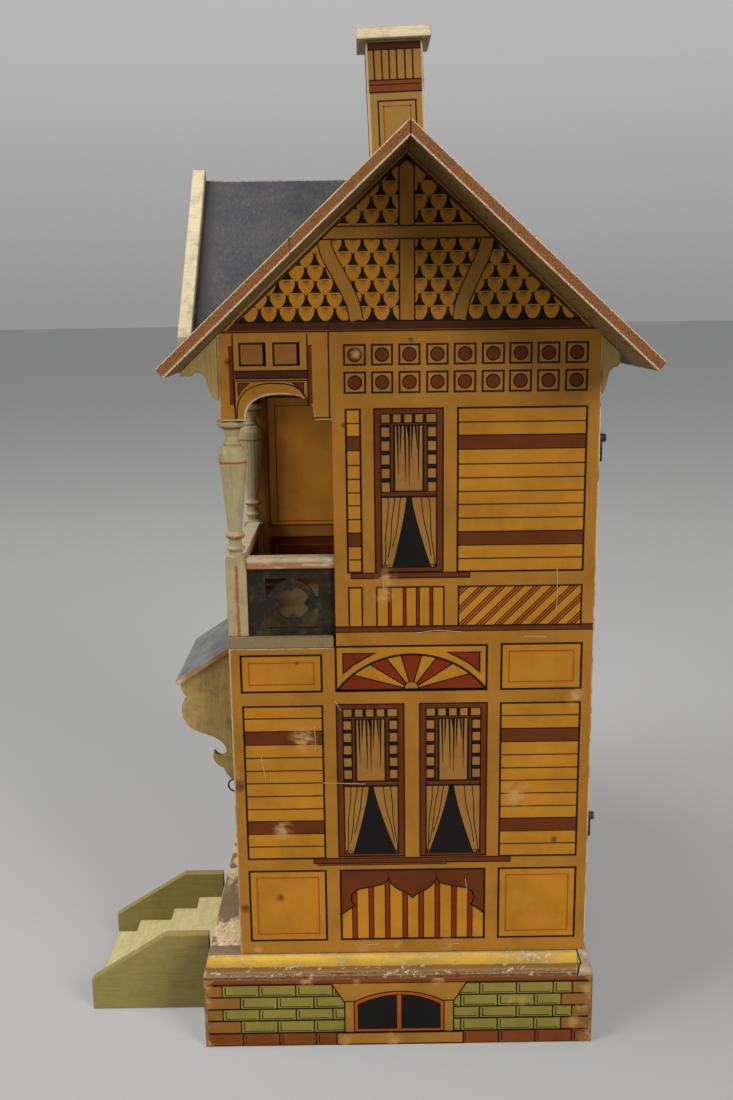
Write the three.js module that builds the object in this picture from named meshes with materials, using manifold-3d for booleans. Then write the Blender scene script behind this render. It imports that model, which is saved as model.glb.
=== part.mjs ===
// A two-storey wooden dollhouse: printed paper on thin boards, with a corner balcony, a front cross gable,
// a hinged front door, a hinged back panel held by two turn hooks, and a loose flight of steps.
// Millimetres. +Z up, the front faces -Y, the balcony side is +X. The origin is on the surface the house
// stands on, under the centre of everything it covers, steps and roof overhangs included.

import * as THREE from 'three';
import { mergeVertices } from 'three/addons/utils/BufferGeometryUtils.js';
import Module from 'manifold-3d';

const wasm = await Module();
wasm.setup();

// ---- driving sizes ----------------------------------------------------------------------------------

const gap = 0.3; // between pieces that meet

// body of the house
const width = 270; // outside, wall to wall
const depth = 230; // outside, front wall to back panel
const wall = 7; // every wall board
const floorBoard = 7; // upper floors

// base
const plinth = 50; // height of the base boards
const baseBoard = 20; // their thickness
const baseSide = 7; // how far the base stands proud at the sides
const baseLedge = 25; // and in front
const baseTail = 5; // and behind
const moulding = 15; // height of the moulded boards on top of the base
const mouldingSet = 4; // how far their top edge is set back
const mouldingGrip = 10; // how far they run in under the walls
const backMoulding = 10; // width of the strip along the back

// storeys
const upperFloor = 278; // underside of the first floor
const atticFloor = 452; // underside of the attic floor
const eave = 472.08; // underside of the main roof at the front wall face

// main roof
const roofPitch = THREE.MathUtils.degToRad(42.5);
const roofBoard = 6.6;
const ridgeForward = 1.5; // ridge in front of the middle of the walls
const eaveFront = 27.9; // overhangs, level
const eaveBack = 24.4;
const verge = 53; // overhang past each side wall

// cross gable
const gablePitch = THREE.MathUtils.degToRad(47.4);
const gableDrop = 11; // its ridge below the main ridge
const bargeThick = 8.5;
const bargeRise = 7.6; // how far the bargeboards stand above their roof
const bargeDepth = 24; // and hang below its top face

// chimney, its place measured from the near wall
const chimneySet = 51;
const chimneyForward = 4; // in front of the ridge
const stackSide = 34;
const stackTop = 57; // above the ridge
const chimneyLean = THREE.MathUtils.degToRad(2);
const capSide = 44;
const capThick = 6;

// balcony, in the near front corner of the upper storey
const balconyWidth = 140;
const balconyDepth = 68;
const archTop = 437; // crown of the arches
const archFoot = 421.5; // where they spring from
const postSide = 13.5;
const postInset = 10; // post centre from the near face
const postBack = 5.7; // and from the front face
const postTop = 335;
const railHeight = 7;
const railWidth = 9;
const railTop = 336;
const railInset = 6.5; // rail and panel centre from the near or front face
const panelThick = 4.5;
const piercing = 33; // side of a panel's square opening
const ringOuter = 15;
const ringInner = 11;

// front door, its place measured from the near wall
const doorSet = 82;
const doorWidth = 56;
const doorHeight = 165;
const doorThick = 5;
const doorPin = 0.8; // radius
const doorClear = 0.6;

// hood over the door
const hoodNear = 29;
const hoodWidth = 101;
const hoodDepth = 40;
const hoodTop = 272.6;
const hoodPitch = THREE.MathUtils.degToRad(33);
const hoodBoard = 3;
const hoodBracket = 5; // thickness of its brackets
const hoodBracketInset = 2; // from the ends of the hood

// back panel and its fittings
const panelTop = 445;
const panelClear = 0.8;
const headerGap = 1;
const leafThick = 0.8;
const leafWidth = 8;
const knuckle = 1.5; // radius
const hingePin = 0.7; // radius
const hingeHeight = 18;
const hingeHeights = [110, 385]; // their middles
const hookHeights = [160, 408]; // their pivots
const hookLength = 12;
const hookThick = 1.6;
const hookScrew = 0.9; // radius

// steps, their place measured from the near wall
const stepsNear = 37.4;
const stepsWidth = 94;
const stepsSideBoard = 6.6;
const stepsClear = 2.1; // between the steps and the base
const stepsHigh = 56.8;
const stepsLow = 23.2;
const stepsLevel = 30; // level run at the top of the side boards
const treads = [19, 20, 27, 18]; // going of each tread, from the house outwards
const risers = [37.5, 28, 18.5, 9]; // their heights

// ---- places worked out from them --------------------------------------------------------------------

const near = width / 2;
const inside = near - wall;
const baseX = near + baseSide;
const baseFront = -baseLedge;
const baseBack = depth + baseTail;
const floorTop = plinth + moulding;
const ridgeY = depth / 2 - ridgeForward;
const roofRise = Math.tan(roofPitch);
const roofUpright = roofBoard / Math.cos(roofPitch);
const ridgeTop = eave + ridgeY * roofRise + roofUpright;
const gableRise = Math.tan(gablePitch);
const gableUpright = roofBoard / Math.cos(gablePitch);
const gableTop = ridgeTop - gableDrop;
const partitionX = near - balconyWidth;
const upperTop = upperFloor + floorBoard;
const stepsBack = baseFront - stepsClear;
const stepsFront = stepsBack - treads.reduce((sum, t) => sum + t, 0);

const mainTop = (y) => ridgeTop - Math.abs(y - ridgeY) * roofRise; // top face of the main roof
const mainUnder = (y) => mainTop(y) - roofUpright;
const gableFace = (x) => gableTop - Math.abs(x) * gableRise; // top face of the cross gable
const valleyX = (y) => (gableTop - mainTop(y)) / gableRise; // where the two meet

// ---- materials --------------------------------------------------------------------------------------

const finish = (color, roughness, metalness = 0) =>
  new THREE.MeshStandardMaterial({ color, roughness, metalness });

const printed = finish(0xb9802f, 0.55); // varnished printed paper on wood
const cream = finish(0xbfb385, 0.75);
const slate = finish(0x5c6470, 0.8);
const brick = finish(0x8d8a4a, 0.7);
const olive = finish(0x857f45, 0.7);
const dark = finish(0x3a3530, 0.7);
const bare = finish(0xb08d5c, 0.8);
const iron = finish(0x2b2a29, 0.6, 0.8);
const brass = finish(0x9a7b3c, 0.45, 0.9);

// ---- shapes -----------------------------------------------------------------------------------------

const box = (x0, x1, y0, y1, z0, z1) =>
  new THREE.BoxGeometry(x1 - x0, y1 - y0, z1 - z0).translate((x0 + x1) / 2, (y0 + y1) / 2, (z0 + z1) / 2);

const outline = (points) => new THREE.Shape(points.map(([a, b]) => new THREE.Vector2(a, b)));

// Extrudes an outline along an axis from a to b. The outline is in (y, z) for x, (x, z) for y, (x, y) for z.
const turns = {
  x: new THREE.Matrix4().makeBasis(
    new THREE.Vector3(0, 1, 0), new THREE.Vector3(0, 0, 1), new THREE.Vector3(1, 0, 0)),
  y: new THREE.Matrix4().makeBasis(
    new THREE.Vector3(1, 0, 0), new THREE.Vector3(0, 0, 1), new THREE.Vector3(0, -1, 0)),
  z: new THREE.Matrix4(),
};

function board(shape, axis, a, b, curveSegments = 8) {
  const geometry = new THREE.ExtrudeGeometry(shape, { depth: b - a, bevelEnabled: false, curveSegments });
  geometry.applyMatrix4(turns[axis]);
  if (axis === 'x') return geometry.translate(a, 0, 0);
  if (axis === 'y') return geometry.translate(0, b, 0);
  return geometry.translate(0, 0, a);
}

// A round bar of radius r along an axis from a to b, through (p, q) on the other two axes in x, y, z order.
function rod(r, axis, a, b, p, q, sides = 16) {
  const geometry = new THREE.CylinderGeometry(r, r, b - a, sides);
  const middle = (a + b) / 2;
  if (axis === 'x') return geometry.rotateZ(-Math.PI / 2).translate(middle, p, q);
  if (axis === 'y') return geometry.translate(p, middle, q);
  return geometry.rotateX(Math.PI / 2).translate(p, q, middle);
}

function solid(geometry) {
  const plain = geometry.clone();
  plain.deleteAttribute('normal');
  plain.deleteAttribute('uv');
  const merged = mergeVertices(plain, 1e-4);
  return new wasm.Manifold(new wasm.Mesh({
    numProp: 3,
    vertProperties: new Float32Array(merged.attributes.position.array),
    triVerts: new Uint32Array(merged.index.array),
  }));
}

function surface(body) {
  const mesh = body.getMesh();
  const geometry = new THREE.BufferGeometry();
  geometry.setAttribute('position', new THREE.BufferAttribute(new Float32Array(mesh.vertProperties), 3));
  geometry.setIndex(new THREE.BufferAttribute(new Uint32Array(mesh.triVerts), 1));
  geometry.computeVertexNormals();
  return geometry;
}

const cut = (piece, ...tools) => surface(tools.reduce((body, tool) => body.subtract(solid(tool)), solid(piece)));
const join = (first, ...rest) => surface(rest.reduce((body, other) => body.add(solid(other)), solid(first)));
const keep = (piece, ...limits) => surface(limits.reduce((body, limit) => body.intersect(solid(limit)), solid(piece)));

const house = new THREE.Group();

function add(name, geometry, material, parent = house) {
  const mesh = new THREE.Mesh(geometry, material);
  mesh.name = name;
  parent.add(mesh);
  return mesh;
}

// ---- base -------------------------------------------------------------------------------------------

const baseInner = baseX - baseBoard;
for (const [side, s] of [['near', 1], ['far', -1]]) {
  const [x0, x1] = s > 0 ? [baseInner, baseX] : [-baseX, -baseInner];
  add(`base_board_${side}`, box(x0, x1, baseFront, baseBack, 0, plinth - gap), brick);
}
add('base_board_front',
  box(-baseInner + gap, baseInner - gap, baseFront, baseFront + baseBoard, 0, plinth - gap), brick);
add('base_board_back',
  box(-baseInner + gap, baseInner - gap, baseBack - baseBoard, baseBack, 0, plinth - gap), brick);

// The moulded edge: a fillet, an ogee and a flat top, drawn outwards from the set-back top edge.
function mouldedEdge(inner, outer) {
  const s = Math.sign(outer - inner);
  const top = outer - s * mouldingSet;
  const shape = new THREE.Shape();
  shape.moveTo(inner, plinth);
  shape.lineTo(outer, plinth);
  shape.lineTo(outer, plinth + 0.16 * moulding);
  shape.lineTo(outer - s * 0.25 * mouldingSet, plinth + 0.2 * moulding);
  shape.bezierCurveTo(outer - s * 0.9 * mouldingSet, plinth + 0.34 * moulding,
    outer - s * 0.1 * mouldingSet, plinth + 0.72 * moulding, top, floorTop);
  shape.lineTo(inner, floorTop);
  return shape;
}

// The whole moulded slab, from which the boards of the moulding and the ground floor are sawn.
const across = new THREE.Shape();
{
  const right = mouldedEdge(0, baseX).getPoints(6);
  const left = mouldedEdge(0, -baseX).getPoints(6).reverse();
  across.setFromPoints([...right.slice(1, -1), ...left.slice(1, -1)]);
}
const along = new THREE.Shape();
{
  const back = mouldedEdge(0, baseBack).getPoints(6);
  const front = mouldedEdge(0, baseFront).getPoints(6).reverse();
  along.setFromPoints([...back.slice(1, -1), ...front.slice(1, -1)]);
}
const slab = keep(board(across, 'y', baseFront - 1, baseBack + 1), board(along, 'x', -baseX - 1, baseX + 1));
const gripX = near - mouldingGrip;
const stripBack = baseBack - backMoulding;
const sawn = (x0, x1, y0, y1) => keep(slab, box(x0, x1, y0, y1, plinth - 1, floorTop + 1));

add('moulding_near', sawn(gripX, baseX + 1, baseFront - 1, stripBack - gap), cream);
add('moulding_far', sawn(-baseX - 1, -gripX, baseFront - 1, stripBack - gap), cream);
add('moulding_back', sawn(-baseX - 1, baseX + 1, stripBack, baseBack + 1), cream);

const doorX = near - doorSet;
const doorNear = doorX + doorWidth / 2;
const doorFar = doorX - doorWidth / 2;
const pinX = doorNear - doorThick / 2;
const pinY = wall / 2;
const pinSeat = 5; // how deep the pin goes into the floor and the lintel
const pinHole = doorPin + 0.1;
add('ground_floor', cut(
  sawn(-gripX + gap, gripX - gap, baseFront - 1, stripBack - gap),
  rod(pinHole, 'z', floorTop - pinSeat, floorTop + 1, pinX, pinY),
), bare);

// ---- side walls -------------------------------------------------------------------------------------

const wallFoot = floorTop + gap;
const gableEnd = [
  [depth, mainUnder(depth) - gap],
  [ridgeY, mainUnder(ridgeY) - gap],
  [0, mainUnder(0) - gap],
];

// The near wall is sawn out round the balcony: up the front, along the arch, and round a short pilaster.
const nearOutline = new THREE.Shape();
{
  const notch = upperFloor - gap;
  const pilaster = balconyDepth - 11;
  const spring = archFoot + 4;
  nearOutline.moveTo(0, wallFoot);
  nearOutline.lineTo(depth, wallFoot);
  for (const [y, z] of gableEnd) nearOutline.lineTo(y, z);
  nearOutline.lineTo(0, archFoot);
  nearOutline.lineTo(postSide + 2, archFoot);
  nearOutline.quadraticCurveTo(postSide + 2, archTop, (postSide + pilaster) / 2 + 2, archTop);
  nearOutline.quadraticCurveTo(pilaster - 1, archTop, pilaster, spring);
  nearOutline.lineTo(pilaster, archFoot);
  nearOutline.lineTo(balconyDepth, archFoot);
  nearOutline.lineTo(balconyDepth, notch);
  nearOutline.lineTo(0, notch);
}

const stapleZ = 184.8;
const stapleBow = 4.1;
const stapleWire = 0.6; // radius
const stapleDeep = 5;
const screwDeep = 6;
const fittingX = near - wall / 2;
add('side_wall_near', cut(
  board(nearOutline, 'x', inside, near),
  ...[-1, 1].map((s) => rod(stapleWire + 0.2, 'y', -1, stapleDeep + 1, fittingX, stapleZ + s * stapleBow, 12)),
  ...hookHeights.map((z) => rod(hookScrew + 0.2, 'y', depth - screwDeep - 1, depth + 1, fittingX, z, 12)),
), printed);
add('side_wall_far', board(outline([[0, wallFoot], [depth, wallFoot], ...gableEnd]), 'x', -near, -inside), printed);

// A wire staple in the front edge of the near wall.
{
  const bow = new THREE.CurvePath();
  const top = new THREE.Vector3(fittingX, 0, stapleZ + stapleBow);
  const low = new THREE.Vector3(fittingX, 0, stapleZ - stapleBow);
  const inwards = new THREE.Vector3(0, stapleDeep, 0);
  bow.add(new THREE.LineCurve3(top.clone().add(inwards), top));
  const reach = (4 / 3) * stapleBow;
  bow.add(new THREE.CubicBezierCurve3(top, top.clone().setY(-reach), low.clone().setY(-reach), low));
  bow.add(new THREE.LineCurve3(low, low.clone().add(inwards)));
  const section = new THREE.Shape().absarc(0, 0, stapleWire, 0, 2 * Math.PI);
  add('front_staple', new THREE.ExtrudeGeometry(section,
    { extrudePath: bow, steps: 24, curveSegments: 4, bevelEnabled: false }), iron);
}

// ---- front of the lower storey ----------------------------------------------------------------------

const wallX = inside - gap; // boards between the side walls end here
const lintel = floorTop + doorClear + doorHeight + doorClear;
add('front_wall', cut(
  box(-wallX, wallX, 0, wall, wallFoot, upperFloor - gap),
  box(doorFar - doorClear, doorNear + doorClear, -1, wall + 1, wallFoot - 1, lintel),
  rod(pinHole, 'z', lintel - 1, lintel + pinSeat, pinX, pinY),
), printed);

// ---- floors and upper walls -------------------------------------------------------------------------

const floorBack = depth - wall - gap;
const bayX = partitionX - wall + 1; // far face of the partition
add('first_floor', board(outline([
  [-wallX, wall + gap], [bayX - gap, wall + gap], [bayX - gap, balconyDepth + gap],
  [wallX, balconyDepth + gap], [wallX, floorBack], [-wallX, floorBack],
]), 'z', upperFloor, upperTop), bare);

const slabGap = 2; // the open joint behind the balcony's floor
add('balcony_floor', box(bayX, near, 0.5, balconyDepth - slabGap, upperFloor, upperTop), cream);
add('attic_floor', box(-wallX, wallX, wall + gap, floorBack, atticFloor, atticFloor + floorBoard), bare);

const upperHeight = atticFloor - gap;
add('balcony_back_wall',
  box(partitionX + gap, wallX, balconyDepth, balconyDepth + wall, upperTop + gap, upperHeight), printed);
add('partition', box(bayX, partitionX, 0, balconyDepth + wall, upperTop + gap, upperHeight), printed);
const frontTop = mainTop(0) - Math.max(roofUpright, gableUpright) - gap; // clear of both roofs
add('bay_front_wall', box(-wallX, bayX - gap, 0, wall, upperFloor, frontTop), printed);

// The arch board across the front of the balcony, its far end resting on the partition.
{
  const half = postSide / 2 + 2;
  const a = partitionX + postInset + half;
  const b = near - postInset - half;
  const shape = new THREE.Shape();
  shape.moveTo(bayX, atticFloor);
  shape.lineTo(partitionX + gap, atticFloor);
  shape.lineTo(partitionX + gap, archFoot);
  shape.lineTo(a, archFoot);
  shape.bezierCurveTo(a, archTop, a + 6, archTop, a + 24, archTop);
  shape.lineTo(b - 24, archTop);
  shape.bezierCurveTo(b - 6, archTop, b, archTop, b, archFoot);
  shape.lineTo(wallX, archFoot);
  shape.lineTo(wallX, frontTop);
  shape.lineTo(bayX, frontTop);
  add('balcony_arch_board', board(shape, 'y', 0, wall), printed);
}

// ---- balcony ----------------------------------------------------------------------------------------

// Half the width of a post's turned part at heights above the top of its square foot.
const turning = [
  [0, 0], [6.4, 0], [6.4, 1.2], [4.6, 2.4], [4.2, 4], [6, 5.6], [6, 6.6], [4.2, 8], [3.8, 11.5],
  [5.6, 13], [6, 14], [5.6, 15], [4.3, 17], [8.6, 60], [8.9, 61], [8.9, 66], [7.2, 69.5], [5, 70.6],
  [5.4, 71.6], [4.4, 73], [4, 76], [5.4, 80.5], [8.4, 82.2], [9, 83.5], [9, 85], [8.2, 86], [0, 86],
];
const turnedHeight = turning.at(-1)[1];
const turnedScale = (archFoot - gap - postTop) / turnedHeight;

function post(x) {
  const profile = turning.map(([r, h]) => new THREE.Vector2(r, h * turnedScale));
  const turned = new THREE.LatheGeometry(profile, 20).rotateX(Math.PI / 2).translate(x, postBack, postTop - 0.01);
  const h = postSide / 2;
  return join(box(x - h, x + h, postBack - h + 0.6, postBack + h, upperTop + gap, postTop), turned);
}

const cornerPostX = near - postInset;
const innerPostX = partitionX + postInset;
add('corner_post', post(cornerPostX), cream);
add('inner_post', post(innerPostX), cream);

const railZ = railTop - railHeight;
const postBehind = postBack + postSide / 2 + gap;
const sideX = near - railInset;
add('side_rail',
  box(sideX - railWidth / 2, sideX + railWidth / 2, postBehind, balconyDepth - gap, railZ, railTop), cream);
const railA = innerPostX + postSide / 2 + gap;
const railB = cornerPostX - postSide / 2 - gap;
add('front_rail',
  box(railA, railB, railInset - railWidth / 2, railInset + railWidth / 2, railZ, railTop), cream);

// The openings of a pierced panel: each square holds a ring with four inward cusps, tied to its sides.
const panelFoot = upperTop + gap;
const panelHead = railZ - gap;
function piercings(a, b, count) {
  const shapes = [];
  const pitch = (b - a) / count;
  const middleZ = (panelFoot + panelHead) / 2 - 1;
  const tie = 3.2; // half width of the links
  const cusp = 3.4;
  const cuspAngle = 0.28; // half the width of a cusp's foot
  const tieAngle = Math.asin(tie / ringOuter);
  const h = piercing / 2;
  for (let i = 0; i < count; i += 1) {
    const middle = a + (i + 0.5) * pitch;
    const at = (r, angle) => [middle + r * Math.cos(angle), middleZ + r * Math.sin(angle)];
    const sweep = (r, turn, margin, n) => Array.from({ length: n + 1 },
      (_, j) => at(r, turn + margin + (j / n) * (Math.PI / 2 - 2 * margin)));
    const quarters = [0, 1, 2, 3].map((k) => (k * Math.PI) / 2);
    shapes.push(outline(quarters.flatMap((turn) => [at(ringInner - cusp, turn), ...sweep(ringInner, turn, cuspAngle, 6)])));
    for (const turn of quarters) {
      const [c, s] = [Math.cos(turn), Math.sin(turn)];
      const corner = [[tie, h], [h, h], [h, tie]].map(([p, q]) => [middle + p * c - q * s, middleZ + p * s + q * c]);
      shapes.push(outline([...sweep(ringOuter, turn, tieAngle, 5), ...corner]));
    }
  }
  return shapes;
}

function piercedPanel(axis, a, b, middle, count) {
  const [low, high] = [middle - panelThick / 2, middle + panelThick / 2];
  const blank = board(outline([[a, panelFoot], [b, panelFoot], [b, panelHead], [a, panelHead]]), axis, low, high);
  return cut(blank, ...piercings(a, b, count).map((shape) => board(shape, axis, low - 1, high + 1)));
}

add('side_panel', piercedPanel('x', postBehind, balconyDepth - gap, sideX, 1), dark);
add('front_panel', piercedPanel('y', railA, railB, railInset, 2), dark);

// ---- main roof --------------------------------------------------------------------------------------

const vergeX = near + verge;
const roofSin = Math.sin(roofPitch) * roofBoard;
const roofCos = Math.cos(roofPitch) * roofBoard;
const frontTip = -eaveFront;
const backTip = depth + eaveBack;
const tall = ridgeTop + 10;

const frontSlope = board(outline([
  [ridgeY - gap / 2, mainTop(ridgeY)], [frontTip, mainTop(frontTip)],
  [frontTip + roofSin, mainTop(frontTip) - roofCos], [ridgeY - gap / 2, mainUnder(ridgeY)],
]), 'x', -vergeX, vergeX);
const valleyEnd = ridgeY - (ridgeTop - gableTop) / roofRise; // where the valleys meet
for (const [side, s] of [['near', 1], ['far', -1]]) {
  const plan = outline([
    [s * gap / 2, ridgeY + 1], [s * (vergeX + 1), ridgeY + 1], [s * (vergeX + 1), frontTip - 1],
    [s * (valleyX(frontTip - 1) + gap / 2), frontTip - 1], [s * gap / 2, valleyEnd],
  ]);
  add(`roof_front_${side}`, keep(frontSlope, board(plan, 'z', 0, tall)), slate);
}
add('roof_back', board(outline([
  [ridgeY + gap / 2, mainTop(ridgeY)], [ridgeY + gap / 2, mainUnder(ridgeY)],
  [backTip - roofSin, mainTop(backTip) - roofCos], [backTip, mainTop(backTip)],
]), 'x', -vergeX, vergeX), slate);

// ---- cross gable ------------------------------------------------------------------------------------

const bargeFront = -eaveFront - 0.6;
const bargeBack = bargeFront + bargeThick;
const gableFront = bargeBack + gap;
for (const [side, s] of [['near', 1], ['far', -1]]) {
  const reach = valleyX(gableFront);
  const slopeBoard = board(outline([
    [s * gap / 2, gableTop], [s * gap / 2, gableTop - gableUpright],
    [s * (reach + 5), gableFace(reach + 5) - gableUpright], [s * (reach + 5), gableFace(reach + 5)],
  ]), 'y', gableFront, ridgeY);
  const plan = outline([
    [0, gableFront], [s * (reach - gap / 2), gableFront], [0, valleyEnd - gap],
  ]);
  add(`gable_roof_${side}`, keep(slopeBoard, board(plan, 'z', 0, tall)), slate);

  const bargeFoot = valleyX(bargeBack) - gap;
  add(`bargeboard_${side}`, cut(
    board(outline([
      [s * gap / 2, gableTop + bargeRise], [s * gap / 2, gableTop + bargeRise - bargeDepth],
      [s * bargeFoot, gableFace(bargeFoot) + bargeRise - bargeDepth], [s * bargeFoot, gableFace(bargeFoot) + bargeRise],
    ]), 'y', bargeFront, bargeBack),
    board(outline([
      [frontTip - 5, mainTop(frontTip - 5) - 3 * roofUpright], [ridgeY, mainUnder(ridgeY) - 2 * roofUpright],
      [ridgeY, mainTop(ridgeY) + gap], [frontTip - 5, mainTop(frontTip - 5) + gap],
    ]), 'x', s > 0 ? valleyX(bargeBack) - gap : -vergeX, s > 0 ? vergeX : -valleyX(bargeBack) + gap),
  ), cream);
}

const gableWallX = valleyX(wall) - 1;
const gableWallTop = (x) => gableFace(x) - gableUpright - gap;
add('front_gable_wall', board(outline([
  [-gableWallX, frontTop + gap], [gableWallX, frontTop + gap], [gableWallX, gableWallTop(gableWallX)],
  [0, gableWallTop(0)], [-gableWallX, gableWallTop(gableWallX)],
]), 'y', 0, wall), printed);

// ---- scroll-cut brackets under the eaves ------------------------------------------------------------

function eaveBracketFront() {
  const shape = new THREE.Shape();
  shape.moveTo(-gap, mainUnder(0) - gap - 0.3);
  shape.lineTo(-22.6, mainUnder(-22.6) - gap - 0.3);
  shape.quadraticCurveTo(-22.4, eave - 22.4, -18.6, eave - 24);
  shape.quadraticCurveTo(-16.6, eave - 24.2, -14.9, eave - 22.2);
  shape.quadraticCurveTo(-8.6, eave - 20, -6.6, eave - 27);
  shape.quadraticCurveTo(-5.6, eave - 37, -gap, eave - 38.5);
  return shape;
}

function eaveBracketBack() {
  const y = depth;
  const low = mainUnder(depth);
  const shape = new THREE.Shape();
  shape.moveTo(y + gap, low - gap - 0.3);
  shape.lineTo(y + gap, low - 34.6);
  shape.quadraticCurveTo(y + 3, low - 31, y + 3.2, low - 26);
  shape.quadraticCurveTo(y + 4.4, low - 19.6, y + 7.4, low - 18.6);
  shape.quadraticCurveTo(y + 9.4, low - 19.4, y + 10.4, low - 16);
  shape.lineTo(y + 10.6, mainUnder(y + 10.6) - gap - 0.3);
  return shape;
}

for (const [side, x0, x1] of [['near', inside, near], ['far', -near, -inside]]) {
  add(`eave_bracket_front_${side}`, board(eaveBracketFront(), 'x', x0, x1, 6), cream);
  add(`eave_bracket_back_${side}`, board(eaveBracketBack(), 'x', x0, x1, 6), cream);
}

// ---- chimney ----------------------------------------------------------------------------------------

const chimneyX = near - chimneySet;
const chimneyY = ridgeY - chimneyForward;
function leaning(geometry) {
  return geometry.rotateX(chimneyLean).translate(chimneyX, chimneyY, ridgeTop);
}
{
  const h = stackSide / 2;
  const c = capSide / 2;
  const seat = board(outline([
    [ridgeY - 60, mainTop(ridgeY - 60) + gap], [ridgeY - 60, mainTop(ridgeY - 60) - 60],
    [ridgeY + 60, mainTop(ridgeY + 60) - 60], [ridgeY + 60, mainTop(ridgeY + 60) + gap],
    [ridgeY, ridgeTop + gap],
  ]), 'x', chimneyX - stackSide, chimneyX + stackSide);
  add('chimney_stack', cut(leaning(box(-h, h, -h, h, -30, stackTop)), seat), printed);
  add('chimney_cap', leaning(box(-c, c, -c, c, stackTop + gap, stackTop + gap + capThick)), cream);
}

// ---- hood over the door -----------------------------------------------------------------------------

const hoodX1 = near - hoodNear;
const hoodX0 = hoodX1 - hoodWidth;
const hoodFall = Math.tan(hoodPitch);
const hoodFace = (y) => hoodTop + y * hoodFall; // y is negative in front of the wall
const hoodUnder = (y) => hoodFace(y) - hoodBoard / Math.cos(hoodPitch);
{
  const tip = -hoodDepth;
  add('door_hood', board(outline([
    [-gap, hoodFace(-gap)], [tip, hoodFace(tip)],
    [tip + hoodBoard * Math.sin(hoodPitch), hoodFace(tip) - hoodBoard * Math.cos(hoodPitch)], [-gap, hoodUnder(-gap)],
  ]), 'x', hoodX0, hoodX1), slate);
}

function hoodBracketOutline() {
  const y = -gap;
  const top = (v) => hoodUnder(v) - gap;
  const z = hoodTop;
  const shape = new THREE.Shape();
  shape.moveTo(y, top(y));
  shape.lineTo(-36.6, top(-36.6));
  shape.quadraticCurveTo(-36.8, z - 34, -32.6, z - 37);
  shape.bezierCurveTo(-38.6, z - 41, -38.4, z - 54, -31, z - 59);
  shape.bezierCurveTo(-24, z - 63.5, -16, z - 63.5, -10, z - 70);
  shape.bezierCurveTo(-6.2, z - 75, -9, z - 80.4, -12.4, z - 79.4);
  shape.quadraticCurveTo(-15, z - 78.4, -16.6, z - 75.6);
  shape.bezierCurveTo(-18.6, z - 82, -14.4, z - 86.4, -10.4, z - 87.4);
  shape.quadraticCurveTo(-8.6, z - 93, -4.6, z - 96);
  shape.lineTo(y, z - 100);
  return shape;
}

const bracketX1 = hoodX1 - hoodBracketInset;
const bracketX0 = hoodX0 + hoodBracketInset;
add('hood_bracket_near', board(hoodBracketOutline(), 'x', bracketX1 - hoodBracket, bracketX1, 6), olive);
add('hood_bracket_far', board(hoodBracketOutline(), 'x', bracketX0, bracketX0 + hoodBracket, 6), olive);

// ---- front door -------------------------------------------------------------------------------------

const doorFoot = floorTop + doorClear;
const doorHead = doorFoot + doorHeight;
{
  const r = doorThick / 2;
  const plan = new THREE.Shape();
  plan.moveTo(doorFar, pinY - r);
  plan.lineTo(pinX, pinY - r);
  plan.absarc(pinX, pinY, r, -Math.PI / 2, Math.PI / 2);
  plan.lineTo(doorFar, pinY + r);
  const bore = new THREE.Path();
  bore.absarc(pinX, pinY, pinHole, 0, 2 * Math.PI);
  plan.holes.push(bore);
  add('front_door', board(plan, 'z', doorFoot, doorHead, 12), printed);
}
add('door_pin', rod(doorPin, 'z', floorTop - pinSeat + gap, lintel + pinSeat - gap, pinX, pinY), iron);

const knobX = doorFar + 6;
const knobZ = doorFoot + 0.48 * doorHeight;
const knobProfile = [[0, 0], [1, 0], [1, 2], [2.2, 3], [2.6, 4.2], [2.2, 5.4], [1, 6], [0, 6]];
add('door_knob', new THREE.LatheGeometry(knobProfile.map(([r, h]) => new THREE.Vector2(r, h)), 14)
  .rotateX(Math.PI).translate(knobX, pinY - doorThick / 2 - gap, knobZ), brass);

// ---- back: header, hinged panel, hinges and turn hooks ----------------------------------------------

const backFace = depth;
add('back_header',
  box(-wallX, wallX, backFace - wall, backFace, panelTop + headerGap, mainUnder(backFace) - gap), printed);
const panelX = inside - panelClear;
add('back_panel', box(-panelX, panelX, backFace - wall, backFace, floorTop + headerGap, panelTop), printed);

const hingeX = -inside + panelClear / 2;
const hingeY = backFace + gap + knuckle;
const hingeBore = hingePin + 0.08;
const hingeGrip = knuckle + gap;

// One leaf of a butt hinge: s is the side its plate lies on, spans are the heights of its knuckles.
function leaf(s, z0, z1, spans) {
  const y0 = backFace + gap;
  const y1 = y0 + leafThick;
  const edge = hingeX + s * hingeGrip;
  const end = hingeX + s * leafWidth;
  const plate = box(Math.min(edge, end), Math.max(edge, end), y0, y1, z0, z1);
  const knuckles = spans.flatMap(([a, b]) => [
    box(Math.min(hingeX, edge + s * 0.5), Math.max(hingeX, edge + s * 0.5), y0, y1, a, b),
    rod(knuckle, 'z', a, b, hingeX, hingeY),
  ]);
  return cut(join(plate, ...knuckles), rod(hingeBore, 'z', z0 - 1, z1 + 1, hingeX, hingeY));
}

hingeHeights.forEach((middle, i) => {
  const name = ['lower', 'upper'][i];
  const z0 = middle - hingeHeight / 2;
  const z1 = middle + hingeHeight / 2;
  const third = hingeHeight / 3;
  add(`${name}_hinge_wall_leaf`, leaf(-1, z0, z1, [[z0, z0 + third], [z1 - third, z1]]), brass);
  add(`${name}_hinge_panel_leaf`, leaf(1, z0, z1, [[z0 + third + gap, z1 - third - gap]]), brass);
  add(`${name}_hinge_pin`, rod(hingePin, 'z', z0 - 0.5, z1 + 0.5, hingeX, hingeY), brass);
});

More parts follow.
